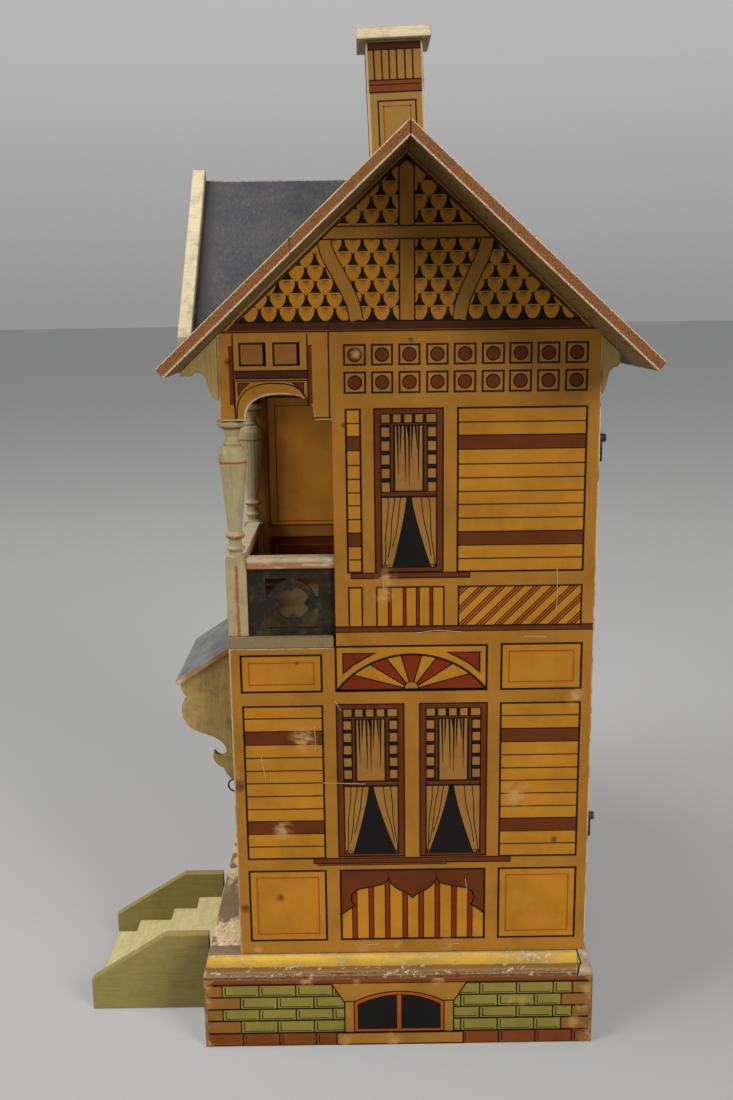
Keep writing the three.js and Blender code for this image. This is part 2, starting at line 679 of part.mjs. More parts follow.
const hookY0 = backFace + 0.4;
const hookY1 = hookY0 + hookThick;
const hookEye = 2.8;
function hookOutline(z) {
  const x = fittingX;
  const shape = new THREE.Shape();
  shape.moveTo(x - 1.1, z - 2.5);
  shape.absarc(x, z, hookEye, -Math.PI / 2 - 0.4, -Math.PI / 2 + 0.4, true);
  shape.lineTo(x + 1.3, z - hookLength);
  shape.quadraticCurveTo(x + 1.2, z - hookLength - 3, x - 1.2, z - hookLength - 2.6);
  shape.quadraticCurveTo(x - 3.2, z - hookLength - 2, x - 3.4, z - hookLength + 1.4);
  shape.lineTo(x - 2.2, z - hookLength + 1.2);
  shape.quadraticCurveTo(x - 1.8, z - hookLength - 0.8, x - 0.8, z - hookLength);
  const bore = new THREE.Path();
  bore.absarc(x, z, hookScrew + 0.15, 0, 2 * Math.PI);
  shape.holes.push(bore);
  return shape;
}

hookHeights.forEach((z, i) => {
  const name = ['lower', 'upper'][i];
  add(`${name}_hook`, board(hookOutline(z), 'y', hookY0, hookY1, 10), iron);
  add(`${name}_hook_screw`, join(
    rod(hookScrew, 'y', backFace - screwDeep + gap, hookY1 + 0.4, fittingX, z),
    rod(2.5, 'y', hookY1 + 0.3, hookY1 + 2, fittingX, z),
  ), iron);
});

// ---- steps ------------------------------------------------------------------------------------------

{
  const x1 = near - stepsNear;
  const x0 = x1 - stepsWidth;
  const side = outline([
    [stepsFront, 0], [stepsBack, 0], [stepsBack, stepsHigh], [stepsBack - stepsLevel, stepsHigh],
    [stepsFront, stepsLow],
  ]);
  add('steps_side_near', board(side, 'x', x1 - stepsSideBoard, x1), olive);
  add('steps_side_far', board(side, 'x', x0, x0 + stepsSideBoard), olive);
  const flight = [[stepsBack - 0.5, 0]];
  let y = stepsBack - 0.5;
  treads.forEach((going, i) => {
    flight.push([y, risers[i]]);
    y = i < treads.length - 1 ? y - going + (i === 0 ? 0.5 : 0) : stepsFront + 0.5;
    flight.push([y, risers[i]]);
  });
  flight.push([stepsFront + 0.5, 0]);
  add('steps_flight', board(outline(flight), 'x', x0 + stepsSideBoard + gap, x1 - stepsSideBoard - gap), olive);
}

// ---- the house in its frame -------------------------------------------------------------------------

house.position.y = -(stepsFront + backTip) / 2;

const dollhouse = new THREE.Group();
dollhouse.add(house);
dollhouse.updateMatrixWorld(true);

export default dollhouse;
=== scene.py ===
import math

import bpy
import numpy as np
from mathutils import Matrix


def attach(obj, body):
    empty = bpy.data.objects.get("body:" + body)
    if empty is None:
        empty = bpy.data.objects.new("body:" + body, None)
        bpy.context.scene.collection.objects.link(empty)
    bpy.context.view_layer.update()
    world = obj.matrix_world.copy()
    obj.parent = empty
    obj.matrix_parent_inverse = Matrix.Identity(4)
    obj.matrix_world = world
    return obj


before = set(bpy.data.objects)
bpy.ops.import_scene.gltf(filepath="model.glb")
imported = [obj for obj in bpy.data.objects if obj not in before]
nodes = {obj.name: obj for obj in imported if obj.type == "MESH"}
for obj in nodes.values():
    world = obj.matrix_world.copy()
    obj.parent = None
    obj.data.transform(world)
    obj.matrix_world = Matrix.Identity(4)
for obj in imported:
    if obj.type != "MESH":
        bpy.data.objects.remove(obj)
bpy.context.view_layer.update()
scene = bpy.context.scene
MM = 0.001               # every length below is written in millimetres


# ---- Camera -------------------------------------------------------------------------------------
# The house is looked at square on to its near end wall, from a little above its middle and about
# 0.7 m away, tilted 12 degrees down and leaning a hair to one side.

eye = np.array([816.58, 13.84, 488.35]) * MM
turn, dip, lean = np.radians([0.17, 12.22, 0.73])
ahead = np.array([-math.cos(turn) * math.cos(dip), math.sin(turn) * math.cos(dip), -math.sin(dip)])
level = np.array([math.sin(turn), math.cos(turn), 0.0])
above = np.cross(level, ahead)
right = level * math.cos(lean) - above * math.sin(lean)
upward = level * math.sin(lean) + above * math.cos(lean)
pose = np.eye(4)
pose[:3, 0], pose[:3, 1], pose[:3, 2], pose[:3, 3] = right, upward, -ahead, eye

camera_data = bpy.data.cameras.new("camera")
camera_data.lens, camera_data.sensor_width, camera_data.sensor_fit = 36.905, 36.0, "AUTO"
camera_data.clip_start, camera_data.clip_end = 0.01, 60.0
camera = bpy.data.objects.new("camera", camera_data)
camera.matrix_world = Matrix(pose.tolist())
scene.collection.objects.link(camera)
scene.camera = camera
scene.view_settings.view_transform = "Standard"


# ---- Floor, backdrop and lights -----------------------------------------------------------------
# A plain pale studio table under a plain grey sky, the same all over. One large soft lamp from the
# upper right, a weaker one from the left and one overhead.

def put(tree, kind, inputs=None, **settings):
    """Adds one shader node. Settings are its properties; an input is linked if its value is a
    socket, and set directly if it is a number or a colour. An input is named by name or number."""
    made = tree.nodes.new("ShaderNode" + kind)
    for name, value in settings.items():
        setattr(made, name, value)
    for name, value in (inputs or {}).items():
        if isinstance(value, bpy.types.NodeSocket):
            tree.links.new(value, made.inputs[name])
        else:
            made.inputs[name].default_value = value
    return made


def ramp(tree, value, stops):
    """A colour ramp through (position, grey or rgb) stops. Positions rise from 0 to 1."""
    made = put(tree, "ValToRGB", {0: value})
    points = made.color_ramp.elements
    points[0].position, points[1].position = stops[0][0], stops[-1][0]
    for position, _ in stops[1:-1]:
        points.new(position)
    for point, (_, colour) in zip(points, stops):
        point.color = (*(colour if hasattr(colour, "__len__") else (colour,) * 3), 1.0)
    return made.outputs[0]


def span(tree, value, low, high, to_low=0.0, to_high=1.0):
    """Value from low..high carried to to_low..to_high along a smooth step, held at both ends."""
    made = put(tree, "MapRange", {0: value, 1: low, 2: high, 3: to_low, 4: to_high},
               interpolation_type="SMOOTHSTEP")
    return made.outputs[0]


def combine(tree, how, first, second):
    """One step of arithmetic on two values, each a socket or a number."""
    return put(tree, "Math", {0: first, 1: second}, operation=how).outputs[0]


floor_radius = 30.0
angles = np.linspace(0, 2 * np.pi, 96, endpoint=False)
rim = np.stack([np.cos(angles), np.sin(angles), 0 * angles], 1) * floor_radius
floor_mesh = bpy.data.meshes.new("floor")
floor_mesh.from_pydata(rim.tolist(), [], [list(range(96))])
floor = bpy.data.objects.new("floor", floor_mesh)
scene.collection.objects.link(floor)

floor_paint = bpy.data.materials.new("studio_floor")
floor_paint.use_nodes = True
tree = floor_paint.node_tree
tree.nodes.clear()
table_top = put(tree, "BsdfDiffuse", {0: (0.22, 0.22, 0.22, 1), 1: 0.4})
table_glow = put(tree, "Emission", {0: (1.0, 1.0, 1.0, 1), 1: 0.17})
shown = put(tree, "AddShader", {0: table_top.outputs[0], 1: table_glow.outputs[0]})
put(tree, "OutputMaterial", {0: shown.outputs[0]})
floor_mesh.materials.append(floor_paint)

world = bpy.data.worlds.new("studio")
scene.world = world
world.use_nodes = True
tree = world.node_tree
tree.nodes.clear()
height = put(tree, "SeparateXYZ", {0: put(tree, "TexCoord").outputs["Generated"]}).outputs[2]
sky = [(0.0, 0.30), (0.25, 0.50)]        # plain studio grey, a little lighter overhead
seen_sky = put(tree, "Background", {0: ramp(tree, height, sky), 1: 1.0})
fill_light = put(tree, "Background", {0: (0.95, 0.97, 1.0, 1.0), 1: 0.24})
first_sight = put(tree, "LightPath").outputs["Is Camera Ray"]
both = put(tree, "MixShader", {0: first_sight, 1: fill_light.outputs[0], 2: seen_sky.outputs[0]})
put(tree, "OutputWorld", {0: both.outputs[0]})


def softbox(name, place, side, watts, tint):
    """A square lamp of this side in metres at place, turned to the middle of the house."""
    data = bpy.data.lights.new(name, "AREA")
    data.shape, data.size, data.energy, data.color = "SQUARE", side, watts, tint
    lamp = bpy.data.objects.new(name, data)
    scene.collection.objects.link(lamp)
    back = np.array(place) - (0.0, 0.0, 0.33)
    back /= np.linalg.norm(back)
    side_way = np.cross((0.0, 0.0, 1.0), back)
    side_way /= np.linalg.norm(side_way)
    lie = np.eye(4)
    lie[:3, 0], lie[:3, 1], lie[:3, 2], lie[:3, 3] = side_way, np.cross(back, side_way), back, place
    lamp.matrix_world = Matrix(lie.tolist())
    lamp.visible_camera = False


softbox("softbox_right", (2.30, 1.95, 1.85), 1.35, 88.0, (1.0, 0.97, 0.92))
softbox("softbox_left", (0.85, -1.35, 1.15), 0.70, 15.0, (1.0, 0.98, 0.96))
softbox("softbox_top", (0.25, -0.75, 2.35), 1.1, 42.0, (1.0, 0.99, 0.97))


# ---- Base boards --------------------------------------------------------------------------------
# Four thick sawn softwood boards nailed round the foot of the house as a plinth, 50 mm high. Their
# ends and lower edges are bare and dirty; printed brick paper is pasted over the outer faces.

def grain(tree, size, stretch=(1.0, 1.0, 1.0), detail=4.0, rough=0.55, shift=(0.0, 0.0, 0.0)):
    """Noise from 0 to 1 in the piece's own space. Size is a blob's size in mm, and stretch makes it
    that many times longer along x, y and z, which draws the blobs out into fibres."""
    spot = put(tree, "TexCoord").outputs["Object"]
    scale = tuple(1.0 / (size * MM * s) for s in stretch)
    place = put(tree, "Mapping", {0: spot, 1: shift, 3: scale}).outputs[0]
    return put(tree, "TexNoise", {"Vector": place, "Scale": 1.0, "Detail": detail,
                                  "Roughness": rough}).outputs[0]


def blend(tree, share, first, second, way="MIX"):
    """Mixes two colours, each a socket or a plain rgb, by share from 0 to 1."""
    made = put(tree, "Mix", data_type="RGBA", blend_type=way)
    for socket, value in zip((made.inputs[0], made.inputs[6], made.inputs[7]), (share, first, second)):
        if isinstance(value, bpy.types.NodeSocket):
            tree.links.new(value, socket)
        else:
            socket.default_value = (*value, 1.0) if hasattr(value, "__len__") else value
    return made.outputs[2]


def edges(tree, reach, low=0.004, high=0.12):
    """1 along the piece's sharp edges and 0 on its flats: how far the normal, rounded over reach
    in mm, leans from the true one."""
    round_off = put(tree, "Bevel", {"Radius": reach * MM}, samples=4).outputs[0]
    flat = put(tree, "NewGeometry").outputs["Normal"]
    lean = put(tree, "VectorMath", {0: round_off, 1: flat}, operation="DOT_PRODUCT").outputs["Value"]
    return span(tree, combine(tree, "SUBTRACT", 1.0, lean), low, high)


def finish(name, build, rough=0.6, rough_spread=0.15, bump=0.25, rounding=0.0, coat=0.0,
           metallic=0.0, specular=0.2):
    """A material. Build gets the node tree and gives (colour, roughness share 0-1, height 0-1).
    Roughness runs over rough plus or minus rough_spread; height becomes a bump of bump mm; rounding
    is the radius in mm over which sharp corners are shaded round."""
    made = bpy.data.materials.new(name)
    made.use_nodes = True
    tree = made.node_tree
    tree.nodes.clear()
    colour, polish, height = build(tree)
    surface = put(tree, "BsdfPrincipled", {
        "Base Color": colour, "Metallic": metallic, "Specular IOR Level": specular,
        "Roughness": span(tree, polish, 0.0, 1.0, rough - rough_spread, rough + rough_spread),
        "Coat Weight": coat, "Coat Roughness": 0.28})
    relief = put(tree, "Bump", {"Strength": 1.0, "Distance": bump * MM, "Height": height})
    if rounding:
        tree.links.new(put(tree, "Bevel", {"Radius": rounding * MM}, samples=4).outputs[0],
                       relief.inputs["Normal"])
    tree.links.new(relief.outputs[0], surface.inputs["Normal"])
    put(tree, "OutputMaterial", {0: surface.outputs[0]})
    return made


def old_wood(pale, dark, dirt, along, fibre=0.9):
    """Bare or oiled softwood: long fibres along the axis named, wide early and late bands between
    pale and dark, and dirt rubbed into patches."""
    stretch = [1.0, 1.0, 1.0]
    stretch["xyz".index(along)] = 26.0

    def build(tree):
        """Adds the nodes of this finish; gives its colour, its polish and its relief."""
        bands = grain(tree, 6.0, stretch, 3.0, 0.5)
        fibres = grain(tree, fibre, stretch, 5.0, 0.65)
        patches = grain(tree, 34.0, detail=5.0, rough=0.6)
        colour = blend(tree, span(tree, bands, 0.36, 0.66), pale, dark)
        colour = blend(tree, span(tree, fibres, 0.35, 0.75, 0.0, 0.55), colour, dark)
        colour = blend(tree, span(tree, patches, 0.46, 0.74, 0.0, 0.65), colour, dirt)
        return colour, patches, combine(tree, "ADD", combine(tree, "MULTIPLY", bands, 0.5), fibres)
    return build


def dress(material, *names):
    """Gives CAD nodes one material on every slot."""
    for name in names:
        mesh = nodes[name].data
        for index in range(max(1, len(mesh.materials))):
            if index < len(mesh.materials):
                mesh.materials[index] = material
            else:
                mesh.materials.append(material)


base_wood = finish("base_wood", old_wood((0.33, 0.19, 0.075), (0.17, 0.085, 0.03), (0.09, 0.05, 0.025), "y"),
                   rough=0.68, bump=0.25, rounding=1.2)
base_wood_across = finish("base_wood_across",
                          old_wood((0.33, 0.19, 0.075), (0.17, 0.085, 0.03), (0.09, 0.05, 0.025), "x"),
                          rough=0.68, bump=0.25, rounding=1.2)
dress(base_wood, "base_board_near", "base_board_far")
dress(base_wood_across, "base_board_front", "base_board_back")


# ---- Printed paper: how it is drawn -------------------------------------------------------------
# All outer walls are covered with sheets of lithographed paper, varnished yellow with age. A sheet
# is a thin slip of paper with the inks lying on it as thin closed films, in the order of printing.

LIFT = 0.05          # mm from one printed film to the next
FILM = 0.042         # mm thickness of a film


def rect(a0, b0, a1, b1):
    """The four corners of an upright rectangle, as one polygon in an array."""
    return np.array([[(a0, b0), (a1, b0), (a1, b1), (a0, b1)]], float)


def rects(a0, a1, levels, tall):
    """Equal rectangles from a0 to a1, one above each level, tall high."""
    return np.concatenate([rect(a0, b, a1, b + tall) for b in levels])


def stroke(points, wide, closed=False):
    """A line of this width along points, as one quad a step. Each point moves out to both sides
    along the mean of its two steps' normals, lengthened so that the width holds at corners."""
    p = np.asarray(points, float)
    if closed:
        before, after = np.roll(p, 1, 0), np.roll(p, -1, 0)
    else:
        before, after = np.vstack([2 * p[0] - p[1], p[:-1]]), np.vstack([p[1:], 2 * p[-1] - p[-2]])

    def unit(v):
        """Each row divided by its length."""
        return v / np.linalg.norm(v, axis=1, keepdims=True)
    one, two = unit(p - before), unit(after - p)
    normal = unit(np.stack([-(one + two)[:, 1], (one + two)[:, 0]], 1))
    reach = wide / 2 / np.maximum(0.35, np.abs((normal * np.stack([-two[:, 1], two[:, 0]], 1)).sum(1)))
    left, right_side = p + normal * reach[:, None], p - normal * reach[:, None]
    quads = np.stack([right_side, np.roll(right_side, -1, 0), np.roll(left, -1, 0), left], 1)
    return quads if closed else quads[:-1]


def outline(a0, b0, a1, b1, wide):
    """The four mitred strokes round a rectangle."""
    return stroke([(a0, b0), (a1, b0), (a1, b1), (a0, b1)], wide, closed=True)


def arc(a, b, radius, start, end, count=24, squash=1.0):
    """Points along a circle from start to end degrees, its height times squash."""
    t = np.radians(np.linspace(start, end, count))
    return np.stack([a + radius * np.cos(t), b + radius * squash * np.sin(t)], 1)


def disc(a, b, radius, count=22):
    """A filled circle as one polygon."""
    return arc(a, b, radius, 0, 360 - 360 / count, count)[None]


def curve(points, count=20):
    """A smooth line through control points: each coordinate is a Catmull-Rom cubic in the step."""
    p = np.asarray(points, float)
    p = np.vstack([2 * p[0] - p[1], p, 2 * p[-1] - p[-2]])
    t = np.linspace(0, len(p) - 3, count)
    k = np.minimum(t.astype(int), len(p) - 4)
    s = (t - k)[:, None]
    a, b, c, d = p[k], p[k + 1], p[k + 2], p[k + 3]
    return 0.5 * (2 * b + (c - a) * s + (2 * a - 5 * b + 4 * c - d) * s**2 + (3 * b - a - 3 * c + d) * s**3)


def cut(polygons, point, inward):
    """Keeps what lies on the inward side of a line through point, for each polygon of a list."""
    kept = []
    for p in polygons:
        d = (p - point) @ np.asarray(inward, float)
        q, e = np.roll(p, -1, 0), np.roll(d, -1)
        share = np.divide(d, d - e, out=np.zeros_like(d), where=d != e)
        pair = np.stack([p, p + (q - p) * share[:, None]], 1).reshape(-1, 2)
        keep = np.stack([d >= 0, (d >= 0) != (e >= 0)], 1).reshape(-1)
        if keep.sum() > 2:
            kept.append(pair[keep])
    return kept


def lay(sheet, ink, layer, *shapes):
    """Adds shapes, each an array of polygons or a list of them, to a sheet in one ink."""
    sheet.extend((ink, layer, polygon) for shape in shapes for polygon in shape)


def print_sheet(name, sheet, corner, across, up, inks, body="house"):
    """Turns a sheet into a mesh. A drawing's (a, b) in mm lands at corner + a * across + b * up, and
    every film is lifted off the wall by its layer. Solidify gives each film its thickness."""
    across, up = np.array(across, float), np.array(up, float)
    out = np.cross(across, up)
    names = sorted({ink for ink, _, _ in sheet})
    sizes = np.array([len(polygon) for _, _, polygon in sheet])
    flat = np.concatenate([polygon for _, _, polygon in sheet])
    lifts = np.repeat([LIFT * (layer + 1) for _, layer, _ in sheet], sizes)
    spots = np.array(corner) + flat[:, :1] * across + flat[:, 1:] * up + lifts[:, None] * out
    ends = np.cumsum(sizes)
    turned = [0.5 * np.sum(p[:, 0] * np.roll(p[:, 1], -1) - np.roll(p[:, 0], -1) * p[:, 1]) < 0
              for _, _, p in sheet]
    faces = [list(range(e - 1, e - n - 1, -1)) if back else list(range(e - n, e))
             for e, n, back in zip(ends, sizes, turned)]
    mesh = bpy.data.meshes.new(name)
    mesh.from_pydata((spots * MM).tolist(), [], faces)
    for ink in names:
        mesh.materials.append(inks[ink])
    mesh.polygons.foreach_set("material_index", [names.index(ink) for ink, _, _ in sheet])
    piece = bpy.data.objects.new(name, mesh)
    scene.collection.objects.link(piece)
    thick = piece.modifiers.new("film", "SOLIDIFY")
    thick.thickness, thick.offset = FILM * MM, -1.0
    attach(piece, body)
    return piece


# Lightness of the papers by height as a share of 0.6 m, set under these lamps. It is painted light
# and shade: it evens out the lighting as much as it stands for old varnish.
HEIGHT_SHADE = [(0.0, 1.02), (0.13, 1.02), (0.215, 0.94), (0.29, 0.88), (0.40, 0.88), (0.455, 0.84),
                (0.50, 0.88), (0.58, 0.84), (0.67, 0.84), (0.76, 0.86), (0.82, 0.90), (1.0, 0.86)]


def printed(ink, bare, wear=0.5, rubs=(), stains=(), spread=0.16):
    """Ink or bare paper under old varnish: cloudy darker and paler patches, paper fleck, faint wood
    grain from the board behind, places rubbed through to the bare colour, and brown stains round
    knots, nails and iron. Each rub or stain is (x, y, z, radius) in mm. Lightness follows
    HEIGHT_SHADE, which is painted light and shade by height as well as old varnish."""
    def build(tree):
        """Adds the nodes of this finish; gives its colour, its polish and its relief."""
        level = put(tree, "SeparateXYZ", {0: put(tree, "TexCoord").outputs["Object"]}).outputs[2]
        drift = combine(tree, "MULTIPLY", grain(tree, 60.0, detail=3.0), 0.06)
        # painted light and shade: the papers lighten and darken by height after HEIGHT_SHADE
        shaded = ramp(tree, combine(tree, "MULTIPLY", combine(tree, "ADD", level, combine(
            tree, "SUBTRACT", drift, 0.03)), 1.0 / 0.6), HEIGHT_SHADE)
        clouds = grain(tree, 30.0, detail=6.0, rough=0.62)
        small = grain(tree, 5.0, (1.0, 1.6, 1.0), 4.0, 0.6, (3.1, 1.7, 5.3))
        fleck = grain(tree, 0.7, (1.0, 1.0, 1.6), 2.0, 0.7)
        board = grain(tree, 2.2, (1.0, 1.0, 24.0), 3.0, 0.5)
        shade = ramp(tree, clouds, [(0.3, 1 - 1.3 * spread), (0.5, 1.0), (0.72, 1 + spread)])
        colour = blend(tree, 1.0, blend(tree, 1.0, ink, shade, "MULTIPLY"), shaded, "MULTIPLY")
        colour = blend(tree, span(tree, fleck, 0.52, 0.8, 0.0, 0.35), colour,
                       tuple(0.55 * c for c in ink))
        colour = blend(tree, span(tree, board, 0.55, 0.8, 0.0, 0.16), colour,
                       tuple(0.6 * c for c in ink))
        worn = span(tree, small, 0.78 - 0.1 * wear, 0.90, 0.0, 0.55)
        spot = put(tree, "TexCoord").outputs["Object"] if rubs or stains else None

        def closeness(x, y, z, radius):
            """1 at a spot, falling smoothly to 0 at its radius."""
            away = put(tree, "VectorMath", {0: spot, 1: (x * MM, y * MM, z * MM)},
                       operation="DISTANCE").outputs["Value"]
            return span(tree, away, radius * MM, 0.15 * radius * MM)
        for rub in rubs:
            patchy = combine(tree, "MULTIPLY", closeness(*rub), span(tree, small, 0.36, 0.66))
            worn = combine(tree, "MAXIMUM", worn, patchy)
        colour = blend(tree, worn, colour, bare)
        for stain in stains:
            soaked = combine(tree, "MULTIPLY", closeness(*stain), span(tree, small, 0.28, 0.62, 0.35, 0.95))
            colour = blend(tree, soaked, colour, (0.045, 0.022, 0.008))
        return colour, clouds, combine(tree, "ADD", combine(tree, "MULTIPLY", board, 0.6), fleck)
    return build


bare_paper = (0.42, 0.235, 0.08)
near_stains = [(135, -68.5, 186, 6.5), (135, -67.5, 98, 4.5), (135, -65, 456, 3.6), (135, 44, 468, 2.6),
               (135, -44, 106, 4.0), (135, 136, 145, 3.6), (135, -29, 268, 2.0), (135, 3, 418, 2.4)]
near_rubs = [(142, -94, 44, 5), (142, -95, 33, 7), (142, -95, 15, 6), (142, -95, 4, 6), (142, 110, 31, 5.5),
             (142, 116, 31.5, 5), (142, 160, 38, 9), (142, 157, 27, 6), (142, 161, 5, 9), (142, 152, 15, 7),
             (142, -2, 3, 6), (142, 30, 4, 8), (142, 5, 47, 4), (142, -28, 48, 6), (142, 60, 48, 6),
             (135, -60, 68, 5), (135, 10, 69, 7), (135, 34, 70, 5), (135, 66, 70, 7),
             (135, -41, 155, 9), (135, -26, 217, 12), (135, -72, 190, 8), (135, 28, 322, 9),
             (135, 27, 312, 8), (135, 10, 460, 5), (135, 112, 177, 13), (135, 148, 243, 8)]
ink_colours = {
    "paper": (0.335, 0.145, 0.016), "field": (0.410, 0.172, 0.012), "shadow": (0.225, 0.098, 0.018),
    "red_brown": (0.112, 0.026, 0.0038), "brick_red": (0.180, 0.022, 0.002),
    "orange": (0.33, 0.068, 0.006), "black": (0.0085, 0.0055, 0.0035), "dark": (0.008, 0.007, 0.006),
    "cloth": (0.30, 0.140, 0.028), "green": (0.215, 0.175, 0.032), "stone": (0.30, 0.140, 0.018),
    "course": (0.165, 0.042, 0.006), "timber": (0.300, 0.138, 0.019),
    "brown": (0.062, 0.0155, 0.003), "scratch": (0.60, 0.46, 0.28), "sage": (0.205, 0.20, 0.105),
    "cream": (0.46, 0.37, 0.20), "pale_field": (0.64, 0.28, 0.030), "stack_tan": (0.30, 0.165, 0.036),
}
inks = {ink: finish("print_" + ink, printed(colour, bare_paper, rubs=near_rubs if ink != "dark" else (),
                                                stains=near_stains),
                    rough=0.48, rough_spread=0.10, bump=0.05, coat=0.03, specular=0.11)
        for ink, colour in ink_colours.items()}


# ---- Brick paper round the base -----------------------------------------------------------------
# Four courses of green bricks over a red-brown one, under a red-brown band, with tan corner blocks
# and an arched two-pane cellar window in a stone surround in the middle of each long side.

COURSES = [(37.6, 45.9, 0), (28.7, 37.0, 1), (20.0, 28.0, 0), (10.6, 19.2, 1)]
BRICK, JOINT = 24.6, 0.95


def brick_sheet(start, end, window=None, corner=12.0, top=49.6):
    """Bricks from start to end, with a corner block a half or a whole brick long at each end of
    each course. Window is the middle of a cellar window, whose surround covers the bricks."""
    sheet = []
    lay(sheet, "stone", 0, rect(start, 0.5, end, top))
    lay(sheet, "course", 1, [np.array([(start + 1.5, 46.4), (end - 1.5, 46.4), (end - 4, top - 0.1),
                                       (start + 6, top - 0.1)])])
    lay(sheet, "black", 2, rect(start + 1.0, 45.9, end - 1.0, 46.8))
    for low, high, odd in COURSES:
        inner_start, inner_end = start + corner * (1 + odd), end - corner * (1 + 0.6 * odd)
        lay(sheet, "black", 1, rect(start + 0.6, low - 0.8, end - 0.6, high + 0.1))
        lay(sheet, "shadow", 2, rect(start + 0.8, low, inner_start - 1.6, high - 0.6),
            rect(inner_end + JOINT * 0.5, low, end - 0.8, high - 0.6))
        for a in np.arange(inner_start - 0.7, inner_end - 2, BRICK):
            stop = min(a + BRICK - JOINT, inner_end - JOINT * 0.5)
            lay(sheet, "green", 2, rect(a, low, stop, high - 0.5))
            lay(sheet, "black", 3, rect(a + 1.3, low + 0.7, a + 1.95, high - 1.3),
                rect(a + 1.3, low + 0.7, stop - 1.6, low + 1.25))
    lay(sheet, "black", 1, rect(start + 0.6, 0.7, end - 0.6, 10.2))
    for a in np.arange(start + corner * 1.0 - BRICK / 2, end - 2, BRICK):
        lay(sheet, "course", 2, rect(max(start + 0.8, a), 1.2, min(a + BRICK - JOINT, end - 0.8), 9.3))
        if a > start:
            lay(sheet, "black", 3, rect(a + 1.3, 2.0, a + 1.95, 8.6))
    if window is not None:
        m = window
        top_stone = np.array([[(m - 45, 46.2), (m - 37, 33), (m + 37, 33), (m + 45, 46.2)]])
        lay(sheet, "stone", 4, top_stone, rect(m - 36.5, 9.5, m + 36.5, 33.3))
        lay(sheet, "black", 5, stroke([(m - 45, 46.2), (m - 37, 33), (m - 29, 33)], 0.9),
            stroke([(m + 45, 46.2), (m + 37, 33), (m + 29, 33)], 0.9),
            rect(m - 37, 9.5, m - 36.1, 33), rect(m + 36.1, 9.5, m + 37, 33),
            rect(m - 37, 9.3, m + 37, 10.2))
        for ink, layer, inset in (("black", 6, 0.0), ("orange", 7, 0.8), ("black", 8, 2.6),
                ("dark", 9, 3.2)):
            head = arc(m, -24.4, 65.0 - inset, 62, 118, 22)
            head[:, 0] = m + (head[:, 0] - m) * (30.5 - inset) / np.abs(head[0, 0] - m)
            lay(sheet, ink, layer, [np.vstack([head, [(m - 30.5 + inset, 10.0 + 0.8 * inset),
                                                      (m + 30.5 - inset, 10.0 + 0.8 * inset)]])])
        lay(sheet, "orange", 10, rect(m - 1.5, 12.4, m + 1.5, 37.6))
        lay(sheet, "black", 11, rect(m - 2.0, 12.4, m - 1.4, 37.6), rect(m + 1.4, 12.4, m + 2.0, 37.6))
        lay(sheet, "stone", 4, rect(m - 42, 0.8, m + 43, 9.3))
        lay(sheet, "black", 5, outline(m - 42, 0.8, m + 43, 9.3, 0.9))
    return sheet


HOUSE_FRONT = -71.65                     # y of the front wall's face
print_sheet("near_brick_paper", brick_sheet(-23.6, 233.4, 105.5),
            (142.0, HOUSE_FRONT, 0), (0, 1, 0), (0, 0, 1), inks)
print_sheet("far_brick_paper", brick_sheet(-3.4, 253.6, 124.5),
            (-142.0, HOUSE_FRONT + 230, 0), (0, -1, 0), (0, 0, 1), inks)
print_sheet("back_brick_paper", brick_sheet(-141.0, 141.0, 0.0),
            (0, 163.4, 0), (-1, 0, 0), (0, 0, 1), inks)
print_sheet("front_brick_paper", brick_sheet(-141.0, 141.0, -70.0),
            (0, -96.65, 0), (1, 0, 0), (0, 0, 1), inks)


# ---- Printed paper on the near end wall ---------------------------------------------------------
# One sheet on one sawn board: framed panels, clapboards with red-brown courses, two sash windows
# below and one above, a sunburst, a frieze, two rows of roundels, and a half-timbered gable with
# shield-shaped shingles. Front is on the left; the board is notched round the balcony.

FINE, LINE, HEAVY = 0.75, 0.95, 1.3


def panel(sheet, a0, b0, a1, b1, inset=4.8, line="orange"):
    """A golden field in a heavy black frame with a thin coloured line inside."""
    lay(sheet, "field", 1, rect(a0, b0, a1, b1))
    lay(sheet, line, 2, outline(a0 + inset, b0 + inset, a1 - inset, b1 - inset, 0.9))
    lay(sheet, "black", 3, outline(a0, b0, a1, b1, HEAVY))


def clapboards(sheet, a0, b0, a1, b1, levels, courses):
    """A golden field of boards: a fine line at each level and a red-brown course between each pair."""
    lay(sheet, "field", 1, rect(a0, b0, a1, b1))
    for low, high in courses:
        lay(sheet, "red_brown", 2, rect(a0, low, a1, high))
        lay(sheet, "black", 3, rect(a0, low - 0.3, a1, low + 0.3), rect(a0, high - 0.4, a1, high + 0.4))
    lay(sheet, "black", 3, rects(a0, a1, [b - FINE / 2 for b in levels], FINE))
    lay(sheet, "black", 4, outline(a0, b0, a1, b1, 1.15))


